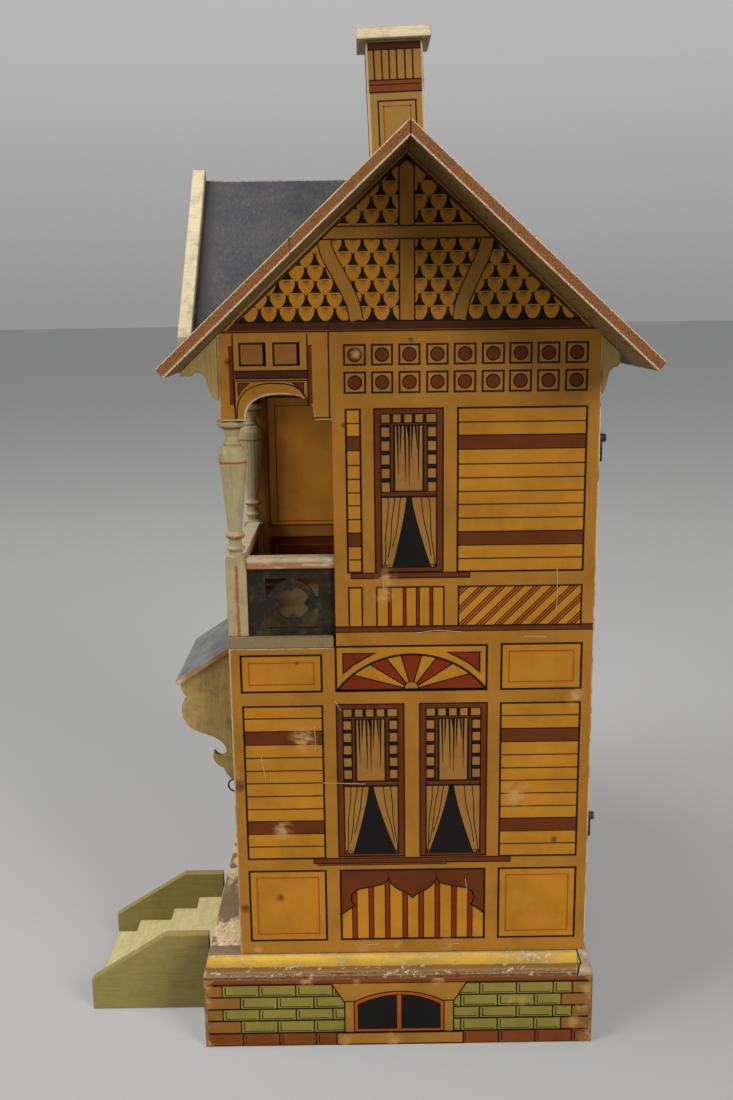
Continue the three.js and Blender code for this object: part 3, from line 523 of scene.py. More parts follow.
def curtain(sheet, a_side, a_top, a_foot, b_top, b_foot, bulge=0.0, folds=(0.25, 0.5, 0.75)):
    """A drawn-back curtain. Its free edge runs from a_top down to a_foot, quickly at first for a
    bulge below 0; the folds share the way from the window's side to that edge."""
    t = np.linspace(0, 1, 14)
    free = a_top + (a_foot - a_top) * (t ** (1.25 + bulge))
    b = b_top + (b_foot - b_top) * t
    side = np.full_like(t, a_side)
    lay(sheet, "cloth", 4, np.stack([np.stack([side[:-1], b[:-1]], 1), np.stack([side[1:], b[1:]], 1),
                                     np.stack([free[1:], b[1:]], 1), np.stack([free[:-1], b[:-1]], 1)], 1))
    way = np.sign(a_top - a_side)
    for n, share in enumerate(folds):
        wave = 0.35 * np.sin(9 * t + 2.1 * n)
        keep = slice(0, 14 - 2 * (n % 3))
        fold = np.stack([side + (free - side) * share * (1 - 0.12 * t) + wave, b], 1)[keep]
        lay(sheet, "black", 5, stroke(fold, 0.55))
    lay(sheet, "black", 5, stroke(np.stack([free - way * 0.3, b], 1), 0.6))
    hem = np.stack([a_side + (free[-1] - a_side) * np.linspace(0, 1, 6),
                    b_foot + 2.4 * np.abs(np.sin(np.linspace(0, 7, 6)))], 1)
    lay(sheet, "black", 5, stroke(hem, 0.5))


def sash_window(sheet, a0, b0, a1, b1, rail, foot, opening):
    """A sash window: brown frame, a row of small lights over two ladders of lights, a hung curtain
    between them, a meeting rail, and two swept curtains over darkness below."""
    lay(sheet, "red_brown", 1, rect(a0, b0, a1, b1))
    lay(sheet, "black", 2, outline(a0, b0, a1, b1, 0.9), rect(a0 + 3.6, foot, a1 - 3.6, b1 - 3.4))
    inner0, inner1 = a0 + 4.1, a1 - 4.1
    pitch = (inner1 - inner0) / 5
    top = b1 - 3.2
    for k in range(5):
        lay(sheet, "cloth", 3, rect(inner0 + k * pitch + (k > 0) * 0.8, top - 5.0,
                                    inner0 + (k + 1) * pitch - (k < 4) * 1.5, top))
    levels = top - 13.7 - 8.4 * np.arange(5)
    lay(sheet, "cloth", 3, rects(inner0, inner0 + 5.0, levels, 5.5),
        rects(inner1 - 5.0, inner1, levels, 5.5))
    lay(sheet, "red_brown", 3, rect(inner0 + 6.0, rail + 3.0, inner0 + 7.2, top - 6.6),
        rect(inner1 - 7.2, rail + 3.0, inner1 - 6.0, top - 6.6),
        rect(inner0, top - 6.4, inner1, top - 5.8))
    drape0, drape1 = inner0 + 8.3, inner1 - 8.3
    lay(sheet, "cloth", 3, rect(drape0, rail + 3.0, drape1, top - 7.2))
    for k, (share, length,
            lean) in enumerate([(0.1, 30, 0.4), (0.22, 17, -0.5), (0.36, 34, 0.5), (0.46, 12, 1.2),
                                              (0.52, 36, -0.3), (0.63, 20, -0.8), (0.75, 14, 0.8),
                                              (0.86, 33, -0.4)]):
        a = drape0 + share * (drape1 - drape0)
        end = max(rail + 3.6, top - 7.2 - length)
        lay(sheet, "black", 4, [np.array([(a - 0.75, top - 7.2), (a + lean, end), (a + lean + 0.25, end),
                                          (a + 0.7, top - 7.2)])])
    lay(sheet, "black", 4, outline(drape0, rail + 3.0, drape1, top - 7.0, 0.5))
    lay(sheet, "red_brown", 3, rect(a0 + 3.4, rail, a1 - 3.4, rail + 2.2))
    lay(sheet, "dark", 3, rect(inner0, foot, inner1, rail - 0.8))
    peak, left, right_side = opening
    curtain(sheet, inner0, peak - 1.0, left, rail - 0.8, foot)
    curtain(sheet, inner1, peak + 1.0, right_side, rail - 0.8, foot, folds=(0.3, 0.6))
    lay(sheet, "black", 5, rect(a0 + 3.4, rail - 1.2, a1 - 3.4, rail - 0.3),
        outline(inner0, foot, inner1, top, 0.6))


near = []
# the varnished ground of the sheet, in three parts round the notch
lay(near, "paper", 0, rect(1.0, 65.6, 229.2, 277.4), rect(67.6, 277.4, 229.2, 478.0),
    rect(1.2, 440.0, 67.6, 478.0))
arch_edge = np.vstack([curve([(14.7, 422.2), (15.0, 428.0), (17.6, 433.0), (22.6, 436.4), (30.0, 437.8),
                              (38.0, 438.0), (47.0, 436.8), (53.6, 433.4), (57.6, 426.0)], 26),
                       [(57.8, 422.2), (67.6, 422.2), (67.6, 440.0), (1.2, 440.0), (1.2, 422.2)]])
lay(near, "paper", 0, [arch_edge])
lay(near, "black", 3,
    stroke(curve([(10.6, 423.0), (11.0, 430.0), (13.6, 436.4), (19.0, 441.0), (27.0, 443.3),
                                    (35.0, 443.6), (43.0, 442.6), (49.6, 439.0), (54.0, 432.0)], 26), 0.7))

# bottom row: two panels and a fringed lambrequin over stripes
panel(near, 7.7, 74.8, 57.9, 125.0)
panel(near, 172.0, 75.0, 222.6, 125.0)
lay(near, "field", 1, rect(67.8, 75, 162.5, 125))
for a in (76.8, 87.8, 98.6, 110.2, 120.8, 131.6, 142.6, 153.2):
    lay(near, "brick_red", 2, rect(a - 1.5, 75, a + 1.5, 121))
    lay(near, "black", 3, rect(a - 1.9, 75, a - 1.3, 121), rect(a + 1.2, 75, a + 1.8, 121))
half_edge = np.vstack([[(67.8, 93.0)], curve([(67.8, 93.0), (72, 96.2), (76.8, 99.6)], 8),
                       curve([(76.8, 99.6), (74.6, 103), (75.4, 108), (80.0, 111.6)], 10),
                       curve([(80.0, 111.6), (88, 113.0), (95, 114.8), (98.6, 117.4), (99.4, 120.6)], 12),
                       curve([(99.4, 120.6), (100.2, 116.6), (105, 111.5), (111, 108.4), (115.1, 104.8)],
                       12)])
edge = np.vstack([half_edge, (half_edge * (-1, 1) + (230.3, 0))[::-1]])
edge = edge[np.r_[True, np.linalg.norm(np.diff(edge, axis=0), axis=1) > 1e-3]]
lay(near, "red_brown", 4, [np.vstack([edge, [(162.5, 124.6), (67.8, 124.6)]])])
lay(near, "black", 5, stroke(edge, 0.9), outline(67.8, 75, 162.5, 125, HEAVY))

# lower storey: boards either side of two windows on a long sill
lower_levels = (231.3, 204.6, 195.6, 187.0, 178.0, 169.0, 142.6)
clapboards(near, 7.6, 134.0, 58.0, 239.4, lower_levels, [(213.5, 222.5), (151.5, 160.5)])
clapboards(near, 172.0, 134.0, 222.4, 239.8, lower_levels, [(213.5, 222.5), (151.5, 160.5)])
sash_window(near, 67.0, 134.8, 110.0, 240.2, 185.0, 137.0, (88.6, 77.0, 104.5))
sash_window(near, 120.2, 134.8, 163.2, 240.2, 185.0, 137.0, (140.6, 126.4, 154.5))
lay(near, "red_brown", 6, rect(50.6, 130.2, 179.2, 133.8))
lay(near, "black", 7, outline(50.6, 130.2, 179.2, 133.8, 0.7), rect(53, 128.8, 138, 129.4))

# band above: two panels and a sunburst of nine rays round a hub
panel(near, 7.2, 249.2, 58.0, 273.2)
panel(near, 172.0, 249.2, 222.4, 279.0)
lay(near, "field", 1, rect(67.2, 249.2, 162.6, 278.6))
sun_middle, sun_foot = 115.0, 249.6
ray = np.radians(np.linspace(0, 180, 73))
sun_a = sun_middle + 47.4 * np.cos(ray) * (1.0 - 0.05 * np.sin(ray) ** 2)
sun_edge = np.stack([sun_a, np.maximum(213.5 + np.sqrt(59.5**2 - (sun_a - sun_middle) ** 2), sun_foot)], 1)
slopes = np.degrees(np.arctan2(sun_edge[:, 1] - sun_foot, sun_edge[:, 0] - sun_middle))
cuts = np.array([0, 15.5, 33, 53, 74, 106, 127, 147, 164.5, 180])
for k in range(9):
    low, high = cuts[k], cuts[k + 1]
    tips = np.stack([np.interp([low, *np.linspace(low, high, 8)[1:-1], high], slopes, sun_edge[:, i])
                     for i in (0, 1)], 1)
    wedge = np.vstack([[(sun_middle, sun_foot)], tips])
    lay(near, "brick_red" if k % 2 == 0 else "field", 2, [wedge])
    if k:
        lay(near, "black", 3, stroke([(sun_middle, sun_foot), tuple(tips[0])], 0.8))
lay(near, "black", 4, stroke(sun_edge[3:-3], 1.4), rect(67.6, 249.2, 162.4, 250.4))
lay(near, "black", 4, [arc(sun_middle, 250.3, 5.0, 0, 180, 14)])
lay(near, "paper", 5, [arc(sun_middle, 250.6, 4.1, 0, 180, 14)])
for way in (-1, 1):
    side = np.array([(sun_middle + way * p, q) for p, q in
                     ((43.2, 274.0), (23.2, 274.0), (28.5, 271.4), (36.5, 266.8), (43.2, 261.0))])
    lay(near, "brick_red", 3, [side])
    lay(near, "black", 4, stroke(side, 0.9, closed=True))
lay(near, "black", 4, outline(67.2, 249.2, 162.6, 278.6, HEAVY))

# frieze between the storeys
lay(near, "red_brown", 2, rect(67.6, 288.0, 229.0, 291.4))
lay(near, "black", 3, rect(67.6, 291.0, 229.0, 291.9), rect(67.6, 287.7, 229.0, 288.2))
for a0, a1 in ((76.2, 84.4), (93.6, 135.4), (144.6, 221.4)):
    lay(near, "field", 1, rect(a0, 291.4, a1, 316.8))
    lay(near, "black", 4, outline(a0, 291.4, a1, 316.8, LINE))
for a in (101.6, 110.9, 119.2, 127.6):
    lay(near, "brick_red", 2, rect(a - 0.7, 291.4, a + 0.7, 316.8))
    lay(near, "black", 3, rect(a - 1.2, 291.4, a - 0.6, 316.8), rect(a + 0.6, 291.4, a + 1.2, 316.8))
for k in range(-3, 8):
    a = 146.2 + 11.4 * k
    for ink, layer, offset, wide in (("brick_red", 2, 0.0, 1.5), ("black", 3, -1.1, 0.7),
            ("black", 3, 1.1, 0.7)):
        bar = list(stroke([(a - 2 + offset, 289.4 - offset), (a + 28 + offset, 319.4 - offset)], wide))
        for point, inward in (((144.6, 0), (1, 0)), ((221.4, 0), (-1, 0)), ((0, 291.4), (0, 1)),
                ((0, 316.8), (0, -1))):
            bar = cut(bar, point, inward)
        lay(near, ink, layer, bar)

# upper storey: a ladder of boards, a window on its sill, and wide boards
ladder_levels = (419.0, 393.5, 385.0, 376.6, 368.6, 360.0, 334.6)
clapboards(near, 76.0, 326.6, 84.6, 427.4, ladder_levels, [(402.5, 411.0), (343.0, 351.5)])
clapboards(near, 143.8, 326.4, 221.6, 427.6, ladder_levels, [(402.5, 411.0), (343.0, 351.5)])
sash_window(near, 93.0, 326.6, 134.8, 427.6, 374.4, 329.5, (114.0, 104.0, 127.0))
lay(near, "red_brown", 6, rect(78.0, 322.8, 151.4, 326.0))
lay(near, "black", 7, outline(78.0, 322.8, 151.4, 326.0, 0.7))

# two rows of roundels
for a0, a1 in ((75.6, 88.0), (92.2, 104.2), (108.6, 120.6), (125.2, 137.4), (141.6, 154.0), (158.4, 171.0),
               (174.8, 187.4), (191.6, 204.0), (208.4, 221.0)):
    for b0, b1 in ((437.4, 449.4), (454.0, 465.6)):
        lay(near, "paper", 1, rect(a0, b0, a1, b1))
        lay(near, "black", 2, outline(a0, b0, a1, b1, 1.15), disc((a0 + a1) / 2, (b0 + b1) / 2, 4.4))
        lay(near, "red_brown", 3, disc((a0 + a1) / 2, (b0 + b1) / 2, 3.6))

# over the balcony arch: two squares, a red-brown band, spandrels and side mouldings
for a0, a1 in ((13.4, 28.4), (33.6, 48.6)):
    # the squares and the band below are printed dark: partly their own brown, partly painted shade under the
    # eave
    lay(near, "shadow", 1, rect(a0, 454.4, a1, 467.2))
    lay(near, "black", 2, outline(a0, 454.4, a1, 467.2, 1.2), rect(a1 - 1.4, 454.4, a1, 467.2))
lay(near, "brown", 2, rect(10.0, 446.6, 54.0, 450.6))
lay(near, "black", 3, rect(10, 446.2, 54, 447.0), rect(10, 450.4, 54, 451.4))
for a, way in ((8.0, 1), (55.0, -1)):
    lay(near, "red_brown", 2, rect(a - 1.3, 431, a + 1.3, 466))
    lay(near, "black", 3, rect(a + way * 1.3 - 0.4, 430, a + way * 1.3 + 0.4, 472.8))
for way in (-1, 1):
    corner_piece = np.array([(31.5 + way * p, q) for p, q in
                             ((19.6, 443.8), (13.0, 443.8), (15.5, 441.8), (18.2, 439.2), (19.6, 436.2))])
    lay(near, "red_brown", 2, [corner_piece])
    lay(near, "black", 3, stroke(corner_piece, 0.7, closed=True))
lay(near, "black", 3, rect(66.0, 422.0, 66.8, 473.2), rect(55.8, 422.2, 67.2, 423.0),
    rect(9.3, 422.2, 10.0, 446),
    rect(10.4, 444.8, 53.6, 445.5))

# the gable: dark ground, shingles in rows, then timbers and a border along the roof
lay(near, "black", 2, rect(0.8, 473.4, 229.4, 474.3))
# the band at the gable's foot is printed dark brown: partly its own colour, partly painted shade
lay(near, "brown", 2, [np.array([(2.0, 474.6), (228.6, 474.6), (224.6, 479.4), (6.6, 479.4)])])
lay(near, "black", 3, rect(6.0, 479.0, 225.0, 480.0))
RIDGE, SLOPE = (113.5, 575.6), math.tan(math.radians(42.5))
slopes_in = [(np.array(RIDGE), (SLOPE, -1.0)), (np.array(RIDGE), (-SLOPE, -1.0))]


def under_roof(polygons, drop=0.0):
    """Cuts polygons to what lies this far in mm below the two roof slopes, measured upright."""
    for point, inward in slopes_in:
        polygons = cut(polygons, point - (0, drop), inward)
    return polygons


lay(near, "paper", 0, under_roof(list(rect(1.0, 478.0, 229.2, 575.6)), 0.4))
lay(near, "black", 1, under_roof(list(rect(6, 479.8, 221, 573)), 3.2))
half_shield = np.array([(3.9, 3.6), (4.55, 2.4), (4.65, 0.8), (4.1, -1.2), (2.6, -3.6), (0.0, -5.6)])
shield = np.vstack([half_shield, (half_shield[-2::-1] * (-1, 1))])
for row in range(11):
    b = 484.6 + 7.85 * row
    spots = 9.25 + 11.15 * (np.arange(20) + 0.5 * (row % 2))
    for a in spots:
        tile = under_roof([shield + (a, b)], 3.9)
        if b > 527 and b < 538:
            tile = cut(tile, (0, 533.5), (0, 1))
        elif b < 527:
            tile = cut(tile, (0, 527), (0, -1))
        lay(near, "field", 2, tile)
        if tile and len(tile[0]) == len(shield):
            lay(near, "black", 3, rect(a - 2.4, b + 2.5, a + 2.4, b + 2.85),
                rect(a - 1.4, b + 1.8, a + 1.5, b + 2.1))
            lay(near, "orange", 3, rect(a - 2.6, b + 1.0, a + 1.4, b + 1.35),
                rect(a - 1.2, b + 0.2, a + 2.2, b + 0.5))
timbers = [rect(109.4, 480.0, 117.4, 526.0),
           [np.array([(109.4, 534.2), (117.4, 534.2), (117.4, 566.6), (113.5, 570.2), (109.4, 566.6)])]]
for a_top, a_foot in ((64.8, 83.4), (160.6, 144.2)):
    middle = curve([(a_top, 527), (a_top + (a_foot - a_top) * 0.12, 518),
        (a_top + (a_foot - a_top) * 0.52, 504),
                    (a_top + (a_foot - a_top) * 0.86, 491), (a_foot, 480)], 16)
    timbers.append(stroke(middle, 7.4))
    lay(near, "black", 4, under_roof(list(stroke(middle, 8.8)), 3.0))
lay(near, "black", 4, under_roof(list(rect(108.5, 480.0, 118.3, 527.0)), 3.0),
    [np.array([(108.5, 533.0), (118.3, 533.0), (118.3, 567.0), (113.5, 571.4), (108.5, 567.0)])])
lay(near, "black", 6, under_roof(list(rect(40, 526.1, 190, 534.1)), 3.0))
lay(near, "timber", 7, under_roof(list(rect(40, 526.9, 190, 533.3)), 3.3))
for timber in timbers:
    lay(near, "timber", 5, under_roof(list(timber), 3.3))
eave_end = RIDGE[1] - 110.5 * SLOPE
for start, end in (((3.0, eave_end), RIDGE), (RIDGE, (224.0, eave_end))):
    run = np.array([start, end], float) - (0, 1.2)
    lay(near, "black", 9, under_roof(cut(list(stroke(run - (0, 1.2), 0.95)), (0, 479.6), (0, 1)), 0.4))
    lay(near, "timber", 8, under_roof(cut(list(stroke(run, 1.5)), (0, 475.0), (0, 1)), 0.4))

# scratches through the varnish, pale
for line in (((57, 187.2), (70, 186.6), (85, 186.0)), ((205.6, 328), (206.2, 316), (205.8, 300)),
             ((97.4, 322.5), (98.0, 312)), ((118, 287), (131, 288.6), (147, 287.4)),
             ((186, 284), (200, 283.4)), ((52.6, 226), (53.4, 214), (52.8, 209)), ((66, 243), (70, 236)),
             ((150, 118), (151.2, 108)), ((82, 70.6), (93, 71.4)), ((139, 70.4), (146, 70.8)),
             ((18, 206), (20.5, 190))):
    lay(near, "scratch", 11, stroke(curve(line, 9), 0.28))
print_sheet("near_wall_print", near, (135.0, HOUSE_FRONT, 0), (0, 1, 0), (0, 0, 1), inks)


# ---- Printed paper on the other walls -----------------------------------------------------------
# The far end wall has the same drawing as the near one, turned about, but whole where the balcony
# is notched out. The front has a panelled door with a window beside it, and above it the balcony
# and a papered bay with a window; the back panel has boards and four windows. Gable and chimney
# have their own small sheets.

def tall_field(sheet, a0, a1, rows):
    """A column of plain panels one above the other, each (foot, head)."""
    for b0, b1 in rows:
        panel(sheet, a0, b0, a1, b1)


far = [(ink, layer, shape * (-1, 1) + (230.0, 0)) for ink, layer, shape in near
       if not (shape[:, 1].min() > 277 and shape[:, 1].max() < 478.5 and shape[:, 0].min() < 67.7)]
lay(far, "paper", 0, rect(162.4, 277.4, 229.0, 478.0))
far_front = []
clapboards(far_front, 12.0, 326.6, 58.0, 427.4, ladder_levels, [(402.5, 411.0), (343.0, 351.5)])
panel(far_front, 12.0, 437.4, 58.0, 465.6)
panel(far_front, 12.0, 291.8, 58.0, 316.8)
lay(far_front, "red_brown", 2, rect(1.0, 288.0, 67.6, 291.4))
lay(far_front, "black", 3, rect(1.0, 291.0, 67.6, 291.9), rect(1.0, 287.7, 67.6, 288.2))
far += [(ink, layer, shape * (-1, 1) + (230.0, 0)) for ink, layer, shape in far_front]
print_sheet("far_wall_print", far, (-135.0, HOUSE_FRONT + 230, 0), (0, -1, 0), (0, 0, 1), inks)

# front wall below the balcony and the bay: door surround, window, panels and a band
front = []
lay(front, "paper", 0, rect(-134.2, 65.6, 23.8, 277.2), rect(82.2, 65.6, 134.2, 277.2),
    rect(23.8, 232.4, 82.2, 277.2))
panel(front, -126.0, 74.8, -84.0, 125.0)
panel(front, -28.0, 74.8, 14.0, 125.0)
lay(front, "field", 1, rect(-78, 74.8, -34, 125.0))
for a in np.arange(-73.0, -36.0, 6.6):
    lay(front, "brick_red", 2, rect(a - 0.9, 74.8, a + 0.9, 125.0))
lay(front, "black", 3, outline(-78, 74.8, -34, 125.0, HEAVY))
clapboards(front, -126.0, 134.0, -84.0, 239.4, lower_levels, [(213.5, 222.5), (151.5, 160.5)])
clapboards(front, -28.0, 134.0, 14.0, 239.4, lower_levels, [(213.5, 222.5), (151.5, 160.5)])
sash_window(front, -77.5, 134.8, -34.5, 240.2, 185.0, 137.0, (-56.0, -68.0, -43.0))
lay(front, "red_brown", 6, rect(-84.0, 130.2, -28.0, 133.8))
lay(front, "black", 7, outline(-84.0, 130.2, -28.0, 133.8, 0.7))
panel(front, 112.0, 74.8, 130.0, 125.0, inset=3.4)
clapboards(front, 112.0, 134.0, 130.0, 239.4, lower_levels, [(213.5, 222.5), (151.5, 160.5)])
lay(front, "red_brown", 2, rect(17.5, 66.0, 22.5, 236.5), rect(83.5, 66.0, 88.5, 236.5),
    rect(17.5, 232.8, 88.5, 237.6))
lay(front, "black", 3, outline(17.2, 65.8, 88.8, 238.0, 0.9), outline(23.2, 64.0, 82.8, 232.6, 0.9))
for a0, a1 in ((-126.0, -84.0), (-78.0, -34.0), (-28.0, 14.0), (112.0, 130.0)):
    panel(front, a0, 249.2, a1, 272.0, inset=3.6)
print_sheet("front_wall_print", front, (0, HOUSE_FRONT, 0), (1, 0, 0), (0, 0, 1), inks)

bay = []
lay(bay, "paper", 0, rect(-134.2, 278.4, -11.8, 465.6))
lay(bay, "red_brown", 2, rect(-134.0, 288.0, -12.0, 291.4))
lay(bay, "black", 3, rect(-134.0, 287.6, -12.0, 288.3), rect(-134.0, 291.0, -12.0, 291.9))
clapboards(bay, -128.0, 326.6, -98.0, 427.4, ladder_levels, [(402.5, 411.0), (343.0, 351.5)])
clapboards(bay, -46.0, 326.6, -16.0, 427.4, ladder_levels, [(402.5, 411.0), (343.0, 351.5)])
sash_window(bay, -93.0, 326.6, -51.0, 427.6, 374.4, 329.5, (-72.0, -83.0, -60.0))
lay(bay, "red_brown", 6, rect(-99.0, 322.8, -45.0, 326.0))
lay(bay, "black", 7, outline(-99.0, 322.8, -45.0, 326.0, 0.7))
for a0, a1 in ((-128.0, -98.0), (-93.0, -51.0), (-46.0, -16.0)):
    panel(bay, a0, 293.6, a1, 316.8, inset=3.6)
for k in range(7):
    a0 = -127.6 + 16.4 * k
    lay(bay, "black", 2, outline(a0, 440.0, a0 + 12.4, 452.0, 1.15), disc(a0 + 6.2, 446.0, 4.4))
    lay(bay, "red_brown", 3, disc(a0 + 6.2, 446.0, 3.6))
print_sheet("bay_print", bay, (0, HOUSE_FRONT, 0), (1, 0, 0), (0, 0, 1), inks)

# the balcony's front arch board
arch_sheet = []
lay(arch_sheet, "paper", 0, rect(-10.4, 438.4, 134.2, 467.6))
for k in range(7):
    a0 = -3.0 + 18.6 * k
    lay(arch_sheet, "field", 1, rect(a0, 454.4, a0 + 13.8, 464.4))
    lay(arch_sheet, "black", 2, outline(a0, 454.4, a0 + 13.8, 464.4, 1.1))
lay(arch_sheet, "red_brown", 2, rect(-6.0, 446.6, 130.0, 450.6))
lay(arch_sheet, "black", 3, rect(-6, 446.2, 130, 447.0), rect(-6, 450.4, 130, 451.2),
    rect(-6, 440.2, 130, 440.9))
print_sheet("arch_board_print", arch_sheet, (0, HOUSE_FRONT, 0), (1, 0, 0), (0, 0, 1), inks)

# front gable: the same shingles between plain timbers
gable = []
half, foot, top = 78.0, 470.0, 559.0
steep = (top - foot) / half
lay(gable, "black", 1, [np.array([(-half, foot), (half, foot), (0, top)])])
for row in range(11):
    b = foot + 5.0 + 7.85 * row
    for a in 11.15 * (np.arange(-8, 9) + 0.5 * (row % 2)):
        tile = [shield + (a, b)]
        for way in (-1, 1):
            tile = cut(tile, (0, top - 4.0), (way * steep, -1.0))
        lay(gable, "field", 2, cut(tile, (0, foot + 1), (0, 1)))
for way in (-1, 1):
    run = np.array([(way * half, foot), (0, top)], float) - (0, 3.6)
    rake_end = list(stroke(run, 5.0))
    for side in (-1, 1):
        rake_end = cut(rake_end, (0, top - 0.6), (side * steep, -1.0))
    lay(gable, "paper", 4 + (way > 0), cut(rake_end, (0, foot + 0.3), (0, 1)))
lay(gable, "paper", 7, rect(-4.0, foot + 0.4, 4.0, top - 12))
lay(gable, "black", 6, rect(-4.8, foot + 0.4, 4.8, top - 11))
print_sheet("front_gable_print", gable, (0, HOUSE_FRONT, 0), (1, 0, 0), (0, 0, 1), inks)

# inside the balcony: tall plain panels over a low dado, on the back wall and on the partition
BALCONY_BACK = -3.73
retreat = []
lay(retreat, "paper", 0, rect(-4.0, 286.0, 127.0, 451.0))
tall_field(retreat, 6.0, 60.0, [(292.0, 330.0), (340.0, 440.0)])
tall_field(retreat, 68.0, 121.0, [(292.0, 330.0), (340.0, 440.0)])
print_sheet("balcony_back_print", retreat, (0, BALCONY_BACK, 0), (1, 0, 0), (0, 0, 1), inks)
screen = []
lay(screen, "paper", 0, rect(7.6, 286.0, 66.8, 451.0))
# the upper panel is printed in a field ink half again as light: painted light falling on the partition
# through the balcony
lay(screen, "pale_field", 1, rect(17.0, 330.3, 66.8, 424.0))
lay(screen, "red_brown", 1, rect(17.0, 292.0, 66.8, 320.8))
lay(screen, "black", 2, rect(16.5, 424.0, 66.8, 425.0), rect(16.5, 329.8, 66.8, 330.7),
    rect(16.5, 330, 17.4, 425.0),
    rect(16.5, 320.6, 66.8, 321.6), rect(16.5, 291, 17.4, 321.6))
lay(screen, "orange", 2, rect(22.2, 332.8, 66.8, 333.6), rect(22.2, 332.8, 23.1, 418.6),
    rect(22.2, 417.8, 66.8, 418.6),
    rect(22.2, 314.8, 66.8, 315.7), rect(20.6, 292.0, 21.5, 315.6))
print_sheet("partition_print", screen, (-5.0, HOUSE_FRONT, 0), (0, 1, 0), (0, 0, 1), inks)

# back panel, which swings: boards round four windows; the header above it has a row of roundels
PANEL_BACK = 158.35
behind = []
lay(behind, "paper", 0, rect(-126.6, 66.6, 126.6, 444.4))
for b0, rail, levels, courses in ((134.8, 185.0, lower_levels, [(213.5, 222.5), (151.5, 160.5)]),
                                  (326.6, 374.4, ladder_levels, [(402.5, 411.0), (343.0, 351.5)])):
    b1 = b0 + (105.4 if b0 < 200 else 101.0)
    for a0, a1 in ((-120.0, -82.0), (-30.0, 30.0), (82.0, 120.0)):
        clapboards(behind, a0, b0 - 0.6, a1, b1 - 0.6, levels, courses)
    for m in (-56.0, 56.0):
        sash_window(behind, m - 21.5, b0, m + 21.5, b1, rail, b0 + 2.4, (m, m - 11.0, m + 11.5))
        lay(behind, "red_brown", 6, rect(m - 27, b0 - 4.4, m + 27, b0 - 0.8))
        lay(behind, "black", 7, outline(m - 27, b0 - 4.4, m + 27, b0 - 0.8, 0.7))
for a0, a1 in ((-120.0, -82.0), (-76.0, -36.0), (-30.0, 30.0), (36.0, 76.0), (82.0, 120.0)):
    panel(behind, a0, 75.0, a1, 123.0)
    panel(behind, a0, 250.0, a1, 276.0, inset=3.8)
    panel(behind, a0, 294.0, a1, 316.8, inset=3.8)
lay(behind, "red_brown", 2, rect(-126.4, 284.0, 126.4, 288.0))
lay(behind, "black", 3, rect(-126.4, 283.6, 126.4, 284.4), rect(-126.4, 287.6, 126.4, 288.4))
print_sheet("back_panel_print", behind, (0, PANEL_BACK, 0), (-1, 0, 0), (0, 0, 1), inks,
            body="back_panel")
header = []
lay(header, "paper", 0, rect(-134.0, 446.4, 134.0, 466.0))
for k in range(15):
    a0 = -124.0 + 16.8 * k
    lay(header, "black", 2, outline(a0, 450.0, a0 + 12.4, 462.0, 1.15), disc(a0 + 6.2, 456.0, 4.4))
    lay(header, "red_brown", 3, disc(a0 + 6.2, 456.0, 3.6))
print_sheet("back_header_print", header, (0, PANEL_BACK, 0), (-1, 0, 0), (0, 0, 1), inks)

# the door's two leaves of printed panelling with a small window
door = []
lay(door, "paper", 0, rect(25.6, 66.2, 80.4, 230.0))
for a0, a1 in ((30.0, 50.4), (55.6, 76.0)):
    panel(door, a0, 73.0, a1, 112.0, inset=3.2)
    panel(door, a0, 118.0, a1, 150.0, inset=3.2)
    lay(door, "dark", 2, rect(a0, 157.0, a1, 222.0))
    lay(door, "red_brown", 3, outline(a0 + 1.2, 158.2, a1 - 1.2, 220.8, 1.6), rect(a0, 188.6, a1, 190.4))
    lay(door, "black", 4, outline(a0, 157.0, a1, 222.0, 1.1))
lay(door, "black", 3, rect(52.4, 66.4, 53.6, 229.8), outline(26.6, 67.2, 79.4, 229.0, 0.8))
print_sheet("door_print", door, (0, -70.65, 0), (1, 0, 0), (0, 0, 1), inks, body="front_door")

# chimney papers: a red-brown head band, seven bars, a double band, and a tall panel
LEAN = math.radians(2.0)
stack_up = (0.0, -math.sin(LEAN), math.cos(LEAN))
stack_side = (0.0, math.cos(LEAN), math.sin(LEAN))


def stack_sheet(foot=-19.0):
    """One face of the chimney, 34 mm wide, its middle at 0, from the roof up to the cap."""
    sheet = []
    lay(sheet, "stack_tan", 0, rect(-15.5, foot, 15.5, 56.2))
    lay(sheet, "cream", 0, rect(-16.3, foot, -15.5, 56.2), rect(15.5, foot, 16.3, 56.2))
    lay(sheet, "brown", 2, rect(-15.8, 51.9, 15.8, 55.8))
    lay(sheet, "black", 3, rect(-15.8, 51.4, 15.8, 52.2))
    lay(sheet, "cloth", 1, rect(-15.8, 35.0, 15.8, 51.8))
    for share in (0.127, 0.268, 0.402, 0.537, 0.688, 0.829):
        a = -16.4 + 32.8 * share
        lay(sheet, "black", 3, rect(a - 0.42, 35.0, a + 0.42, 51.6))
    lay(sheet, "course", 2, rect(-15.8, 28.0, 15.8, 34.9))
    lay(sheet, "black", 3, rect(-15.8, 34.4, 15.8, 35.2), rect(-15.8, 31.9, 15.8, 32.5),
        rect(-15.8, 27.6, 15.8, 28.4))
    lay(sheet, "stack_tan", 1, rect(-11.2, foot, 12.2, 23.2))
    lay(sheet, "black", 2, rect(-11.2, 22.6, 12.2, 23.5), rect(-11.2, foot, -10.3, 23.4),
        rect(11.3, foot, 12.2, 23.4))
    lay(sheet, "orange", 2, rect(-8.0, 19.6, 9.0, 20.4), rect(-8.0, foot, -7.2, 20.4),
        rect(8.2, foot, 9.0, 20.4))
    return sheet


